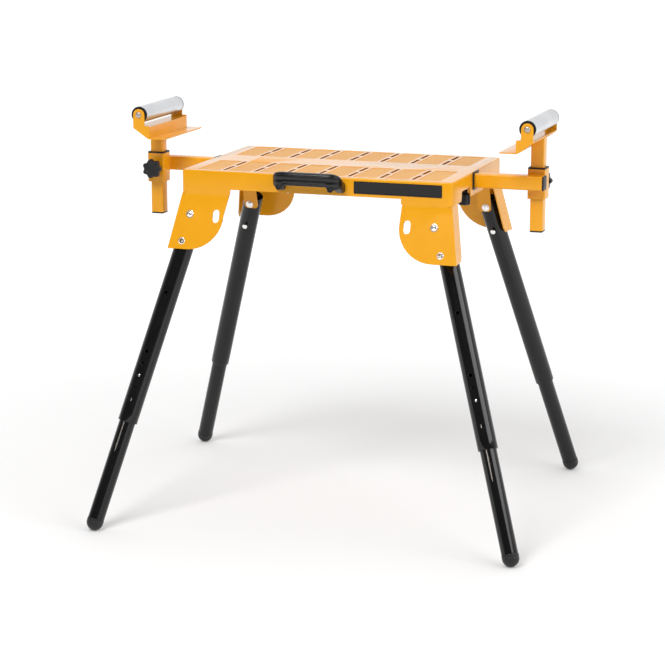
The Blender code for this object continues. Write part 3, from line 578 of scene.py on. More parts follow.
LEG_RADIUS = 21 * MM
LEG_BORE = 19.5 * MM
ROLL = 0.6 * MM
ROLLED_END = np.array([(21, 0.6), (20.85, 0.15), (20.4, 0), (19.9, 0), (19.5, 0.6)]) * MM
MOUTH_LIP = np.array([(19.8, 0.3), (18.2, 0.3), (17.8, 0.8), (17.8, 12), (19.8, 14)]) * MM
BUTTON_HOLES = 0.308 + 0.027 * np.arange(5)
SPARE_HOLE = 0.175
LOCK_DISTANCE = 0.060
HOLE_RADII = {"button": 4 * MM, "spare": 3.8 * MM, "lock": 4.8 * MM, "pivot": 5.3 * MM}
UPSIDE_DOWN = (1, -1)
for corner in CORNERS:
    leg = legs[corner]
    pivot, down, out = leg
    node = "upper_leg_" + corner
    top, bottom = reach_of(node, pivot, down)
    holes = [(distance, 0, HOLE_RADII["button"]) for distance in BUTTON_HOLES]
    holes.append((SPARE_HOLE, 0, HOLE_RADII["spare"]))
    for distance, name in ((LOCK_DISTANCE, "lock"), (0.0, "pivot")):
        holes += [(distance, column, HOLE_RADII[name]) for column in (0, OPPOSITE)]
    wall = drilled_tube(leg, LEG_RADIUS, LEG_BORE, top + ROLL, bottom - ROLL, holes)
    rim = turned(ROLLED_END + (0, top), pivot, down, out, TUBE_COLUMNS)
    end_rim = turned(ROLLED_END * UPSIDE_DOWN + (0, bottom), pivot, down, out, TUBE_COLUMNS)
    lip = turned(MOUTH_LIP * UPSIDE_DOWN + (0, bottom), pivot, down, out, TUBE_COLUMNS, loop=True)
    add_piece("upper_tube_" + corner, [wall, rim, end_rim, lip], node, black_coat, node)
print("holes in each upper tube:", len(holes))

# %% [markdown]
# ## Lower legs and feet
# The lower leg is a thinner tube that slides in the upper one on a swollen collar. Its rubber foot, a
# dome with a short collar and the parting line of its mould, is pushed into the end of the tube. A narrow
# light line of dull steel runs down the lower tube from the upper tube's mouth. It could be painted with
# a mask, but a thin strip that lies a hair proud of the tube stays sharper.

# %% Lower legs and feet
BUTTON_DISTANCE = BUTTON_HOLES[2]
BUTTON_HOLE = 3.8 * MM
LOWER_RADIUS = 17.5 * MM
LOWER_BORE = 16 * MM
COLLAR = np.array([(17.3, 0.1), (18.7, 0.1), (19.2, 0.6), (19.2, 14.4), (19, 15), (17.3, 15.8)]) * MM
FOOT_RADIUS = 18 * MM
FOOT_PLUG = np.array([(0, 0), (14.8, 0), (15.6, 1.5)]) * MM
FOOT_COLLAR = np.array([(15.6, -8), (17.2, -8), (17.8, -7.7), (18, -7.1), (18, -0.9)]) * MM
PARTING_LINE = np.array([(17.65, -0.4), (17.65, 0.4)]) * MM
KEY_SHOWN = 68 * MM
KEY_HIDDEN = 62 * MM
KEY_TAPER = 12 * MM
KEY_HALF = 1.2 * MM
KEY_PROUD = 0.1 * MM
KEY_DEPTH = 0.5 * MM


def key_line(leg, start, end):
    """A closed strip along the tube, between arcs of radius R + p and R - d.

    Its half angle is w / R, and over the last stretch w / R sqrt((end - s) / taper), a round point.
    """
    pivot, down, out = leg
    side = np.cross(down, out)
    s = np.concatenate([[start, start], end - KEY_TAPER * np.linspace(1, 0, 9) ** 2])
    half = KEY_HALF / LOWER_RADIUS * np.sqrt(np.clip((end - s) / KEY_TAPER, 0, 1))
    half[0] = 0
    arc = np.linspace(-1, 1, 7)
    angle = half[:, None] * np.concatenate([arc, arc[::-1]])
    radius = LOWER_RADIUS + np.repeat([KEY_PROUD, -KEY_DEPTH], len(arc))
    ring = np.cos(angle)[..., None] * out + np.sin(angle)[..., None] * side
    return grid_part(pivot + s[:, None, None] * down + radius[:, None] * ring)


def foot_profile(start, tip):
    """The foot's plug, collar and parting line, and a dome of radius R: (R cos a, m + R sin a)."""
    middle = tip - FOOT_RADIUS
    arc = np.linspace(0.06, np.pi / 2, 18)
    dome = FOOT_RADIUS * np.stack([np.cos(arc), np.sin(arc)], axis=1)
    below = np.concatenate([FOOT_COLLAR, PARTING_LINE, dome])
    return np.concatenate([FOOT_PLUG + (0, start), below + (0, middle)])


for corner in CORNERS:
    leg = legs[corner]
    pivot, down, out = leg
    node = "lower_leg_" + corner
    top, bottom = reach_of(node, pivot, down)
    button = [(BUTTON_DISTANCE, 0, BUTTON_HOLE)]
    wall = drilled_tube(leg, LOWER_RADIUS, LOWER_BORE, top, bottom, button, capped=True)
    collar = turned(COLLAR + (0, top), pivot, down, out, TUBE_COLUMNS, loop=True)
    add_piece("lower_tube_" + corner, [wall, collar], node, black_coat, node)
    start, tip = reach_of("foot_" + corner, pivot, down)
    foot = turned(foot_profile(start, tip), pivot, down, out, 56)
    add_piece("rubber_foot_" + corner, [foot], node, black_rubber, "foot_" + corner)
    mouth = reach_of("upper_leg_" + corner, pivot, down)[1]
    line = key_line(leg, mouth - KEY_HIDDEN, mouth + KEY_SHOWN)
    add_piece("key_line_" + corner, [line], node, dull_steel)
print("lower legs and feet:", len(CORNERS))

# %% [markdown]
# ## Pivot bolts
# Each leg folds on a zinc plated bolt with a domed head, a washer under it, and a nut and washer inside.
# All are turned profiles with eased corners, because plating leaves no sharp edge. The nut is turned too:
# a hexagon is a circle whose radius is divided by the cosine of the angle from the nearest flat.

# %% Pivot bolts


def eased(corners, radius, steps=4):
    """Rounds the inner corners of a path of points: a curve from P - r u to P + r v that leans on P."""
    corners = np.asarray(corners, float)
    path = [corners[:1]]
    t = np.linspace(0, 1, steps + 1)[:, None]
    for before, corner, after in zip(corners, corners[1:], corners[2:]):
        back = before - corner
        ahead = after - corner
        reach = min(radius, 0.45 * np.linalg.norm(back), 0.45 * np.linalg.norm(ahead))
        start = corner + unit(back) * reach
        end = corner + unit(ahead) * reach
        path.append((1 - t) ** 2 * start + 2 * t * (1 - t) * corner + t**2 * end)
    path.append(corners[-1:])
    return np.concatenate(path)


def hexagon(t):
    """Radius of a hexagon with corners at 1: cos 30 degrees over the cosine of the angle off a flat."""
    return math.cos(math.pi / 6) / np.cos((t + math.pi / 6) % (math.pi / 3) - math.pi / 6)


BOLT_RADIUS = 5 * MM
HEAD_HEIGHT = 5 * MM
WASHER = np.array([(5, 0), (8.5, 0), (8.5, 1.3), (5, 1.3), (5, 0)]) * MM
DOME = [(0, 1.1), (7.3, 1.1), (7.2, 1.9), (6.6, 3.2), (5.4, 4.2), (3.9, 4.8), (3.2, 5)]
SOCKET = [(2.8, 4.5), (2.8, 1.8), (0, 1.8)]
HEAD = np.array(DOME + SOCKET) * MM
NUT = np.array([(0, 1.1), (7.3, 1.1), (7.3, 3.4), (6.3, 4), (3.6, 4), (3.6, 4.5), (3, 5), (0, 5)]) * MM
for corner in CORNERS:
    pivot, down, out = legs[corner]
    inner_end, outer_end = reach_of("pivot_bolt_" + corner, pivot, out)
    head = outer_end - HEAD_HEIGHT
    nut = inner_end + HEAD_HEIGHT
    shank = [(0, nut), (BOLT_RADIUS, nut), (BOLT_RADIUS, head), (0, head)]
    parts = [
        turned(eased(WASHER + (0, head), 0.4 * MM), pivot, out, down),
        turned(eased(WASHER * UPSIDE_DOWN + (0, nut), 0.4 * MM), pivot, out, down),
        turned(eased(HEAD + (0, head), 0.2 * MM), pivot, out, down, 64),
        turned(eased(NUT * UPSIDE_DOWN + (0, nut), 0.3 * MM), pivot, out, down, 96, hexagon),
        turned(shank, pivot, out, down, 32),
    ]
    add_piece("pivot_fastener_" + corner, parts, "stand", zinc, "pivot_bolt_" + corner)
print("pivot bolts:", len(CORNERS))

# %% [markdown]
# ## Lock pins and height buttons
# A sprung pin locks each leg open through an eyelet in its bracket, and a sprung button holds the lower
# tube at its height. The button's tip is a low dome, so it is an arc of an ellipse on a straight stem.
# The eyelet is a ring that stays with the bracket when the pin goes in.

# %% Lock pins, eyelets and height buttons
EYELET = np.array([(5.1, 0), (7.6, 0), (7.6, 0.5), (6.6, 1.3), (5.6, 1.3), (5.1, 0.8), (5.1, 0)]) * MM
EYELET_SINK = 0.3 * MM
BUTTON_RADIUS = 3.5 * MM
BUTTON_DOME = 1.2 * MM
PIN_FOOT = np.array([(0, 0), (4, 0), (5.6, 0.8), (5.6, 3), (4.5, 3)]) * MM
PIN_TIP = np.array([(4.5, -0.9), (3.7, 0), (1.4, 0), (0.9, -0.5), (0, -0.5)]) * MM
BUTTON_STEM = np.array([(0, 0), (5, 0), (5, 1.5), (3.5, 1.5)]) * MM
for corner in CORNERS:
    pivot, down, out = legs[corner]
    spot = pivot + LOCK_DISTANCE * down
    node = "lock_pin_" + corner
    low, high = reach_of(node, spot, out)
    pin = np.concatenate([PIN_FOOT + (0, low), PIN_TIP + (0, high)])
    turning = turned(eased(pin, 0.3 * MM), spot, out, down, 40)
    add_piece("lock_turning_" + corner, [turning], node, zinc, node)

    face = reach_of("pivot_bolt_" + corner, pivot, out)[1] - HEAD_HEIGHT - EYELET_SINK
    eyelet = turned(eased(EYELET + (0, face), 0.3 * MM), spot, out, down)
    add_piece("lock_eyelet_" + corner, [eyelet], "stand", zinc)

    spot = pivot + BUTTON_DISTANCE * down
    node = "snap_button_" + corner
    low, high = reach_of(node, spot, out)
    arc = np.linspace(0, np.pi / 2, 8)
    dome = np.stack([BUTTON_RADIUS * np.cos(arc), high - BUTTON_DOME + BUTTON_DOME * np.sin(arc)], axis=1)
    button = turned(np.concatenate([BUTTON_STEM + (0, low), dome]), spot, out, down, 32)
    add_piece("button_turning_" + corner, [button], node, zinc, node)
print("lock pins, eyelets and buttons:", 3 * len(CORNERS))

# %% [markdown]
# ## Rollers
# The work roller is a drawn aluminium tube between two moulded caps, and it turns on a steel axle whose
# riveted ends show outside the ears. The caps have a raised rim, a sunken web and a hub. Cylinders with a
# Bevel would do for the tube but not for the caps, so all are turned.

# %% Rollers, caps and axles
X_AXIS, Y_AXIS, Z_AXIS = np.eye(3)
ROLLER_RADIUS = 18 * MM
ROLLER_BORE = 16 * MM
CAP_RIM = np.array([(15.7, 3), (18, 3), (18, 0), (15.2, 0), (14.6, 1.2), (9, 1.2), (8.4, 0), (5.3, 0)]) * MM
CAP_PLUG = 15.7 * MM
CAP_HOLE = 5.3 * MM
RIVET = np.array([(0, 0), (4, 0), (6.5, 1.4), (6.5, 3), (5, 3)]) * MM
for side in SIDES:
    centre = np.array(joints["roller_spin_" + side]["pos_m"], float)
    body = "roller_" + side
    low, high = reach_of(body, centre, Y_AXIS)
    tube = [(ROLLER_BORE, low), (ROLLER_RADIUS, low), (ROLLER_RADIUS, high), (ROLLER_BORE, high)]
    outside = turned(eased(tube, 0.5 * MM), centre, Y_AXIS, X_AXIS, 96)
    inside = turned([(ROLLER_BORE, low), (ROLLER_BORE, high)], centre, Y_AXIS, X_AXIS, 96)
    add_piece("roller_tube_" + side, [outside, inside], body, drawn, body)
    for end in ("near", "far"):
        node = "roller_cap_" + end + "_" + side
        low, high = reach_of(node, centre, Y_AXIS)
        face, back = (low, high) if abs(low) > abs(high) else (high, low)
        inward = 1 if back > face else -1
        rim = CAP_RIM * (1, inward) + (0, face)
        profile = np.concatenate([[(CAP_HOLE, back), (CAP_PLUG, back)], rim, [(CAP_HOLE, back)]])
        cap = turned(eased(profile, 0.5 * MM), centre, Y_AXIS, X_AXIS, 72)
        add_piece("moulded_" + node, [cap], body, black_grain, node)
    node = "roller_axle_" + side
    low, high = reach_of(node, centre, Y_AXIS)
    profile = np.concatenate([RIVET + (0, low), (RIVET * UPSIDE_DOWN + (0, high))[::-1]])
    axle = turned(eased(profile, 0.8 * MM), centre, Y_AXIS, X_AXIS)
    add_piece("axle_turning_" + side, [axle], "post_" + side, dull_steel, node)
print("rollers:", len(SIDES))

# %% [markdown]
# ## Star knobs
# The clamping knobs are moulded with seven and six rounded lobes. Separate lobes would have to be blended
# by hand. Here the radius swells with the cosine of the lobe count times the angle. The face is dished
# and the edges are well rounded for the fingers.

# %% Star knobs
KNOB_BACK = np.array([(0, 0), (0.90, 0), (1, 2)])
KNOB_FACE = np.array([(1, -3), (0.84, 0), (0.56, 0), (0.48, -1.2), (0, -1)])
POST_KNOB = {"radius": 19.5 * MM, "lobes": 7, "swell": 2 * MM, "neck": 6 * MM, "thick": 18 * MM}
ARM_KNOB = {"radius": 12.5 * MM, "lobes": 6, "swell": 1.4 * MM, "neck": 8 * MM, "thick": 25 * MM}


def star_knob(node, facing, radius, lobes, swell, neck, thick):
    """A lobed cap with r = R (1 + d cos n t) on a round neck and stud, as two turned parts."""

    def lobed(t):
        return 1 + swell / radius * np.cos(lobes * t)

    centre = np.array(joints[node.replace("knob", "knob_turn")]["pos_m"], float)
    low, high = reach_of(node, centre, facing)
    face = neck + thick
    base = centre + facing * (high - face)
    stud = high - low - face
    cap = np.concatenate([KNOB_BACK * (radius, MM) + (0, neck), KNOB_FACE * (radius, MM) + (0, face)])
    shaft = [(0, -stud), (3.2 * MM, -stud), (4 * MM, -stud + 0.8 * MM), (4 * MM, 0.3 * MM)]
    shaft += [(8 * MM, 0.3 * MM), (8 * MM, neck * 0.7), (9 * MM, neck + 0.4 * MM), (0, neck + 0.4 * MM)]
    parts = [
        turned(eased(cap, 2.2 * MM, 6), base, facing, X_AXIS, 112, lobed),
        turned(eased(shaft, 0.4 * MM), base, facing, X_AXIS),
    ]
    add_piece("star_" + node, parts, node, black_grain, node)


for side in SIDES:
    star_knob("post_knob_" + side, Y_AXIS if side == "right" else -Y_AXIS, **POST_KNOB)
    star_knob("arm_knob_" + side, -Z_AXIS, **ARM_KNOB)
print("knobs:", 2 * len(SIDES))

# %% [markdown]
# ## Square tubes
# The outriggers, sleeves and posts are drawn square tube. A cube with a Bevel would round their ends as
# much as their long edges. So a rounded rectangle is carried along the outer wall, over an eased
# end and back along the bore.

# %% Square tubes
CORNER_STEPS = 6
TUBE_CORNER = 3 * MM
TUBE_EASE = 0.35 * MM
LEAST_CORNER = 0.6 * MM


def rounded_ring(width, height, radius):
    """A rectangle with round corners as points (n, 2): each corner is a quarter circle of the radius."""
    turn = np.linspace(0, np.pi / 2, CORNER_STEPS + 1)
    arc = radius * np.stack([np.cos(turn), np.sin(turn)], axis=1)
    spin = np.array([[0, -1], [1, 0]])
    ring = []
    for quarter, (sx, sy) in enumerate(((1, 1), (-1, 1), (-1, -1), (1, -1))):
        middle = np.array([sx * (width / 2 - radius), sy * (height / 2 - radius)])
        ring.append(middle + arc @ np.linalg.matrix_power(spin, quarter).T)
    return np.concatenate(ring)


def boxed(rows, centre, axis, across, up, loop=False):
    """A run of rounded rectangles along an axis. Each row is (width, height, corner radius, distance)."""
    rings = np.array([rounded_ring(*row[:3]) for row in rows])
    spots = np.asarray(centre) + np.array(rows)[:, 3:] * axis
    return grid_part(spots[:, None] + rings[..., :1] * across + rings[..., 1:] * up, loop)


def square_tube(ends, centre, axis, across, up, size, wall):
    """A square tube between two distances: outer wall, eased ends and bore in one closed loop."""
    low, high = ends
    bore = size - 2 * wall
    face = size - 2 * TUBE_EASE
    inner = max(TUBE_CORNER - wall, LEAST_CORNER)
    rows = [
        (size, size, TUBE_CORNER, low + TUBE_EASE),
        (size, size, TUBE_CORNER, high - TUBE_EASE),
        (face, face, TUBE_CORNER - TUBE_EASE, high),
        (bore, bore, inner, high),
        (bore, bore, inner, low),
        (face, face, TUBE_CORNER - TUBE_EASE, low),
    ]
    return boxed(rows, centre, axis, across, up, loop=True)


print("points round a square tube:", len(rounded_ring(1, 1, 0.1)))

# %% [markdown]
# ## Arms, sleeves and posts
# An upright sleeve is welded to the side of each arm, and the post slides in it. A threaded boss on the
# sleeve takes the knob. A weld is a row of overlapping drops, so each bead is a round rod whose radius
# ripples along its length, half sunk into the corner between the tubes.

# %% Arms, sleeves and posts
BEAD_STEP = 0.4 * MM
BEAD_PITCH = 2.4 * MM
BEAD_RIPPLE = 0.18


def weld_bead(start, end, radius):
    """A round bead along a line, with the rippling radius r (1 + k sin(2 pi s / pitch))."""
    start = np.asarray(start, float)
    run = np.asarray(end) - start
    length = np.linalg.norm(run)
    s = np.linspace(0, length, int(length / BEAD_STEP))
    swell = radius * (1 + BEAD_RIPPLE * np.sin(2 * np.pi * s / BEAD_PITCH))
    swell[[0, -1]] = 0
    side = Z_AXIS if abs(run[2]) < 0.5 * length else X_AXIS
    return turned(np.stack([swell, s], axis=1), start, run, side, 16)


def node_box(node):
    """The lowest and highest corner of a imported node, as an array (2, 3)."""
    return np.array([tuple(corner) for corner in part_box(node)])


ARM_SIZE = 30 * MM
ARM_WALL = 1.5 * MM
POST_SIZE = 28 * MM
SLEEVE_SIZE = 38 * MM
POST_WALL = 2 * MM
BOSS = np.array([(4.3, -1.5), (8, -1.5), (8, 5), (4.3, 5), (4.3, -1.5)]) * MM
WELD_INSET = 1 * MM
for side in SIDES:
    sign = 1 if side == "right" else -1
    outward = X_AXIS * sign
    facing = Y_AXIS * sign
    node = "extension_arm_" + side
    post_middle = node_box("support_post_" + side).mean(axis=0) * (1, 1, 0)
    arm_middle = node_box("arm_plug_" + side).mean(axis=0) * (0, 1, 1)
    upright = (post_middle, Z_AXIS, X_AXIS, Y_AXIS)
    face = post_middle @ facing + SLEEVE_SIZE / 2
    boss_centre = np.array([post_middle[0], 0, joints["post_knob_turn_" + side]["pos_m"][2]])
    near_x = post_middle[0] - sign * SLEEVE_SIZE / 2
    far_x = post_middle[0] + sign * SLEEVE_SIZE / 2
    weld_y = (arm_middle @ facing + ARM_SIZE / 2) * sign
    top = arm_middle[2] + ARM_SIZE / 2 - WELD_INSET
    low = arm_middle[2] - ARM_SIZE / 2 + WELD_INSET
    parts = [
        square_tube(reach_of(node, 0, outward), arm_middle, outward, Y_AXIS, Z_AXIS, ARM_SIZE, ARM_WALL),
        square_tube(reach_of(node, 0, Z_AXIS), *upright, SLEEVE_SIZE, POST_WALL),
        turned(eased(BOSS + (0, face), 0.5 * MM), boss_centre, facing, X_AXIS, 40),
        weld_bead((near_x, weld_y, top), (far_x, weld_y, top), 2.2 * MM),
        weld_bead((near_x, weld_y, low), (far_x, weld_y, low), 2.2 * MM),
        weld_bead((near_x, weld_y, low), (near_x, weld_y, top), 2.0 * MM),
    ]
    add_piece("arm_tubes_" + side, parts, "arm_" + side, orange_coat, node)

    node = "support_post_" + side
    post = square_tube(reach_of(node, 0, Z_AXIS), *upright, POST_SIZE, POST_WALL)
    add_piece("post_tube_" + side, [post], "post_" + side, orange_coat, node)
print("arms and posts:", 2 * len(SIDES))

# %% [markdown]
# ## Bushes and end plugs
# Thin black mouldings line the arm openings and the sleeve tops and close the tube ends. Each is a run of
# rounded rectangles: width, height, corner radius and distance in millimetres from the outer end. A
# flange is two rows that step out, and a narrower row eases its edge.

# %% Bushes and plugs
GUIDE_FLANGE = [(33.2, 33.2, 3, -2.7), (42, 38, 3, -2.7), (42, 38, 3, -0.6), (40.8, 36.8, 2.4, 0)]
GUIDE_FLANGE += [(31.8, 31.8, 2.6, 0), (30.8, 30.8, 2.5, -0.5)]
POST_BUSH = [(33.4, 33.4, 2, -23), (33.4, 33.4, 2, -3), (38, 38, 3, -3), (38, 38, 3, -0.7)]
POST_BUSH += [(36.8, 36.8, 2.4, 0), (29.6, 29.6, 2.6, 0), (28.6, 28.6, 2.5, -0.5), (28.6, 28.6, 2.5, -23)]
ARM_PLUG = (26.4, 30)
POST_PLUG = (23.4, 28)


def plug_rows(stem, head):
    """Rows of a plug with a square stem and an eased head, in millimetres."""
    rows = [(0, 0, -13), (stem, 2, -13), (stem, 2, -3), (head, 3, -3), (head, 3, -1)]
    rows += [(head - 0.6, 2.7, -0.3), (head - 2, 2.2, 0), (0, 0, 0)]
    return [(size, size, radius, distance) for size, radius, distance in rows]


def moulding(node, rows, axis, across, up, body, loop=False):
    """Carries rounded rectangles along an axis from the node's outer end. A loop has a bore."""
    middle = node_box(node).mean(axis=0)
    end = middle + reach_of(node, middle, axis)[1] * axis
    shape = boxed(np.array(rows) * MM, end, axis, across, up, loop)
    add_piece("moulded_" + node, [shape], body, black_grain, node)


for side in SIDES:
    outward = X_AXIS if side == "right" else -X_AXIS
    low, high = reach_of("guide_bush_" + side, 0, outward)
    depth = (low - high) / MM
    bush = [(33.2, 33.2, 3, depth), *GUIDE_FLANGE, (30.8, 30.8, 2.5, depth)]
    moulding("guide_bush_" + side, bush, outward, Y_AXIS, Z_AXIS, "stand", loop=True)
    moulding("arm_plug_" + side, plug_rows(*ARM_PLUG), outward, Y_AXIS, Z_AXIS, "arm_" + side)
    moulding("post_bush_" + side, POST_BUSH, Z_AXIS, X_AXIS, Y_AXIS, "arm_" + side, loop=True)
    moulding("post_plug_" + side, plug_rows(*POST_PLUG), -Z_AXIS, X_AXIS, Y_AXIS, "post_" + side)
print("bushes and plugs:", 4 * len(SIDES))

# %% [markdown]
# ## Carrying handle
# The handle is one heavy moulding: a bar with lengthwise grip ridges between two blocks that stand on the
# apron. It could be sculpted from a cube with Subdivision. A soft rectangle carried along an arched path
# gives the same form in one formula. Near the ends it grows downwards into the blocks, and only the bar
# has the narrow grooves.

# %% Carrying handle
HANDLE_HALF = 66 * MM
HANDLE_REACH = 34 * MM
HANDLE_RISE = 18 * MM
HALF_HEIGHT = 12.5 * MM
HALF_DEPTH = 10.5 * MM
ARCH_POWER = 0.34
RING_POWER = 0.55
BAR_SWELL = 0.14
GROOVES = 14
GROOVE_DEPTH = 0.10
GRIP_END = 1.02 * HANDLE_HALF
GRIP_RAMP = 0.05 * HANDLE_HALF
BLOCK_START = 0.70 * HANDLE_HALF
BLOCK_RAMP = 0.06 * HANDLE_HALF
BLOCK_DROP = 11 * MM


def soft_step(value):
    """0 up to 0, 1 from 1 on, and s^2 (3 - 2 s) between."""
    s = np.clip(value, 0, 1)
    return s**2 * (3 - 2 * s)


def handle_grid(stations=161, columns=224):
    """A soft rectangle on the arch x = -H sign(cos t) |cos t|^q, y = -R sin t^q, deeper at its ends.

    Its size is scaled by 1 - g (0.5 + 0.5 cos n u)^5, which cuts n narrow grooves between the ridges.
    """
    t = np.linspace(0, np.pi, stations)
    reach = np.clip(np.sin(t), 0, 1) ** ARCH_POWER
    x = np.where(t < np.pi / 2, -1, 1) * HANDLE_HALF * np.abs(np.cos(t)) ** ARCH_POWER
    y = -HANDLE_REACH * reach
    lift = HANDLE_RISE * soft_step(reach)
    heading = np.arctan2(np.gradient(y), np.gradient(x))
    heading[0] = -np.pi / 2
    heading[-1] = np.pi / 2
    u = 2 * np.pi * np.arange(columns) / columns
    across = HALF_DEPTH * np.sign(np.cos(u)) * np.abs(np.cos(u)) ** RING_POWER
    rise = HALF_HEIGHT * np.sign(np.sin(u)) * np.abs(np.sin(u)) ** RING_POWER
    block = soft_step((np.abs(x) - BLOCK_START) / BLOCK_RAMP) * reach**4
    bar = np.clip((GRIP_END - np.abs(x)) / GRIP_RAMP, 0, 1) * reach**4
    ridge = 1 - GROOVE_DEPTH * np.outer(bar, (0.5 + 0.5 * np.cos(GROOVES * u)) ** 5)
    height = rise * ridge * (1 + BAR_SWELL * reach)[:, None]
    drop = np.outer(block * BLOCK_DROP, np.minimum(rise, 0) / HALF_HEIGHT)
    depth = across * ridge
    along = x[:, None] - depth * np.sin(heading)[:, None]
    ahead = y[:, None] + depth * np.cos(heading)[:, None]
    return np.stack([along, ahead, lift[:, None] + height + drop], axis=2)


handle_box = node_box("carry_handle")
handle_spot = np.array([handle_box[:, 0].mean(), handle_box[1, 1], handle_box[0, 2] + HALF_HEIGHT])
grip = handle_grid() + handle_spot
caps = [np.broadcast_to(row.mean(axis=0), row.shape)[None] for row in (grip[0], grip[-1])]
closed = np.concatenate([caps[0], grip, caps[1]])
add_piece("handle_moulding", [grid_part(closed)], "stand", black_grip, "carry_handle")
print("handle:", len(grip), "rows")

# %% [markdown]
# ## Handle screws
# A screw holds each block of the handle, sunk in a raised collar. Both are small turned profiles on the
# block's front, which are cleaner than holes cut into the moulding.

# %% Handle screws
SCREW_SPREAD = 57 * MM
SCREW_REACH = 41 * MM
SCREW_RISE = 0.5 * MM
COLLAR_SIDE = [(0, -1), (6.4, -1), (6.4, 0.8), (5.8, 1.4)]
COLLAR_WELL = [(4.9, 1.4), (4.5, 0.9), (4.5, -0.4), (0, -0.4)]
SCREW_COLLAR = np.array(COLLAR_SIDE + COLLAR_WELL) * MM
SCREW_HEAD = np.array([(0, -0.6), (3.9, -0.6), (3.9, 0.2), (3, 0.7), (1.5, 0.8), (1.2, 0), (0, 0)]) * MM
for way, name in ((-1, "left"), (1, "right")):
    screw = handle_spot + (way * SCREW_SPREAD, -SCREW_REACH, SCREW_RISE)
    collar = turned(eased(SCREW_COLLAR, 0.2 * MM), screw, -Y_AXIS, X_AXIS, 40)
    add_piece("handle_collar_" + name, [collar], "stand", black_grip)
    head = turned(eased(SCREW_HEAD, 0.15 * MM), screw, -Y_AXIS, X_AXIS, 40)
    add_piece("handle_screw_" + name, [head], "stand", black_coat)
print("handle screws: 2")

# %% [markdown]
# ## Blank plate
# The apron carries a bare black plate with a raised rim, pressed from thin sheet. It could be a flat box,
# but the rim is what catches the light. So its rows run from the back over the rim into a shallow field.

# %% Blank plate
PLATE_ROWS = [(0, 0, 0, 0), (191, 26, 2, 0), (191, 26, 2, 0.8), (190.3, 25.3, 1.7, 1.15)]
PLATE_ROWS += [(189.4, 24.4, 1.4, 1.2), (187.6, 22.6, 1.2, 1.2), (186.9, 21.9, 1.0, 1.15)]
PLATE_ROWS += [(186.2, 21.2, 0.8, 0.8), (0, 0, 0, 0.8)]
plate_box = node_box("blank_plate")
plate_spot = plate_box.mean(axis=0) * (1, 0, 1) + Y_AXIS * plate_box[1, 1]
plate = boxed(np.array(PLATE_ROWS) * MM, plate_spot, -Y_AXIS, X_AXIS, Z_AXIS)
add_piece("plate_pressing", [plate], "stand", plate_gloss, "blank_plate")
print("plate rows:", len(PLATE_ROWS))

# %% [markdown]
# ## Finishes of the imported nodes
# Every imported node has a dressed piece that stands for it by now. The nodes could keep their plain grey,
# but each gets the first finish of its slot, so that a node shown by itself looks right as well.

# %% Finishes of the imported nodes
finish_of_slot = {}
for name, slot in slot_of_finish.items():
    finish_of_slot.setdefault(slot, bpy.data.materials[name])
slot_of_node = {entry["node"]: entry["material_slot"] for entry in frame["record"]["subparts"]}
for node, obj in frame["nodes"].items():
    obj.data.materials.clear()
    obj.data.materials.append(finish_of_slot[slot_of_node[node]])
print("finished nodes:", len(slot_of_node))

# %% [markdown]
# ## Floor
# The portrait stands on a white sweep. More light would wash the floor out and burn the paint, so the
# floor is pale grey and keeps the stand's shadow. It glows a little for the rays that show it directly,
# and more further away, until it meets the white of the world.

# %% Floor
FLOOR = 30.0
GLOW = (0.14, 0.58)
GLOW_REACH = (0.6, 3.0)
PALE_GREY = (0.80, 0.80, 0.80, 1)
WHITE = (1, 1, 1, 1)


def link_math(nodes, links, operation, first, second):
    """A Math node on two sockets."""
    step = nodes.new("ShaderNodeMath")
    step.operation = operation
    links.new(first, step.inputs[0])
    links.new(second, step.inputs[1])
    return step.outputs["Value"]


floor_mesh = bpy.data.meshes.new("studio_floor")
floor_corners = [(-FLOOR, -FLOOR, 0), (FLOOR, -FLOOR, 0), (FLOOR, FLOOR, 0), (-FLOOR, FLOOR, 0)]
floor_mesh.from_pydata(floor_corners, [], [(0, 1, 2, 3)])
floor = new_object("studio_floor", floor_mesh)
pale, nodes, links = with_nodes(bpy.data.materials.new("studio_white"))
shader = nodes["Principled BSDF"]
shader.inputs["Base Color"].default_value = PALE_GREY
shader.inputs["Roughness"].default_value = 0.9
shader.inputs["Emission Color"].default_value = WHITE
place = nodes.new("ShaderNodeTexCoord")
distance = nodes.new("ShaderNodeVectorMath")
distance.operation = "LENGTH"
links.new(place.outputs["Object"], distance.inputs[0])
glow = spread(nodes, links, distance.outputs["Value"], *GLOW, *GLOW_REACH)
path = nodes.new("ShaderNodeLightPath").outputs
direct = link_math(nodes, links, "MAXIMUM", path["Is Camera Ray"], path["Is Glossy Ray"])
shown = link_math(nodes, links, "MAXIMUM", direct, path["Is Transmission Ray"])
strength = link_math(nodes, links, "MULTIPLY", glow, shown)
links.new(strength, shader.inputs["Emission Strength"])
floor_mesh.materials.append(pale)
print("floor", 2 * FLOOR, "m wide")

# %% [markdown]
# ## World
# The world is white to the camera. As a light it is bright behind the stand and dim in front, like a lit
# backdrop in a dark room. An even white world would be simpler, but it lights every side alike and turns
# black tubes grey.

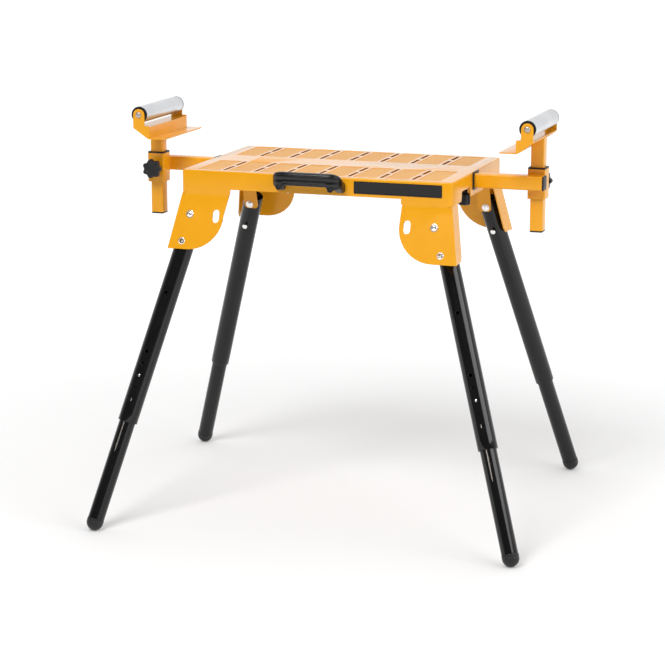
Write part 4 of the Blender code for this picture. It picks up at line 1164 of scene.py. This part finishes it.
# %% World
SWEEP = (0.12, 1.0)
SWEEP_REACH = (-0.60, 0.62)
world, nodes, links = with_nodes(bpy.data.worlds.new("studio_world"))
bpy.context.scene.world = world
nodes["Background"].inputs["Color"].default_value = WHITE
direction = nodes.new("ShaderNodeTexCoord")
split = nodes.new("ShaderNodeSeparateXYZ")
links.new(direction.outputs["Generated"], split.inputs["Vector"])
sweep = spread(nodes, links, split.outputs["Y"], *SWEEP, *SWEEP_REACH)
sweep.node.interpolation_type = "SMOOTHSTEP"
path = nodes.new("ShaderNodeLightPath").outputs
level = link_math(nodes, links, "MAXIMUM", path["Is Camera Ray"], sweep)
links.new(level, nodes["Background"].inputs["Strength"])
print("world lights from", SWEEP[0], "in front to", SWEEP[1], "behind")

# %% [markdown]
# ## Lamps
# A high softbox near the camera is the key light. A wide one at the right draws the long pale stripe down
# the round legs, which a small lamp would shrink to a thin line.

# %% Lamps


def softbox(name, place, target, width, height, power):
    """An area lamp, sized in metres, that faces its target."""
    lamp = bpy.data.lights.new(name, "AREA")
    lamp.energy = power
    lamp.shape = "RECTANGLE"
    lamp.size = width
    lamp.size_y = height
    holder = new_object(name, lamp)
    holder.location = place
    x, y, z = np.subtract(target, place)
    holder.rotation_euler = (math.atan2(math.hypot(x, y), -z), 0, math.atan2(y, x) - math.pi / 2)


softbox("key_softbox", place=(-0.6, -3.3, 4.0), target=(0, 0, 0.6), width=2.0, height=2.0, power=139)
softbox("side_softbox", place=(3.85, -1.45, 2.6), target=(0, 0, 0.4), width=3.6, height=1.5, power=72)
print("lamps: 2")

# %% [markdown]
# ## Camera
# The portrait was taken from far away with a long lens, which keeps the legs nearly parallel. The
# camera's place, turn and lens were fitted to the table's corners, the feet and the posts in the picture.

# %% Camera
YAW = math.radians(18.73)
PITCH = math.radians(12.645)
CAMERA_PLACE = (1.517, -4.552, 1.4585)
LENS = 120.2
SENSOR = 36
camera_data = bpy.data.cameras.new("portrait_camera")
camera_data.lens = LENS
camera_data.sensor_width = SENSOR
camera = new_object("portrait_camera", camera_data)
camera.location = CAMERA_PLACE
camera.rotation_euler = (math.pi / 2 - PITCH, 0, YAW)
bpy.context.scene.camera = camera
bpy.context.scene.view_settings.view_transform = "Standard"
print("camera at", CAMERA_PLACE)
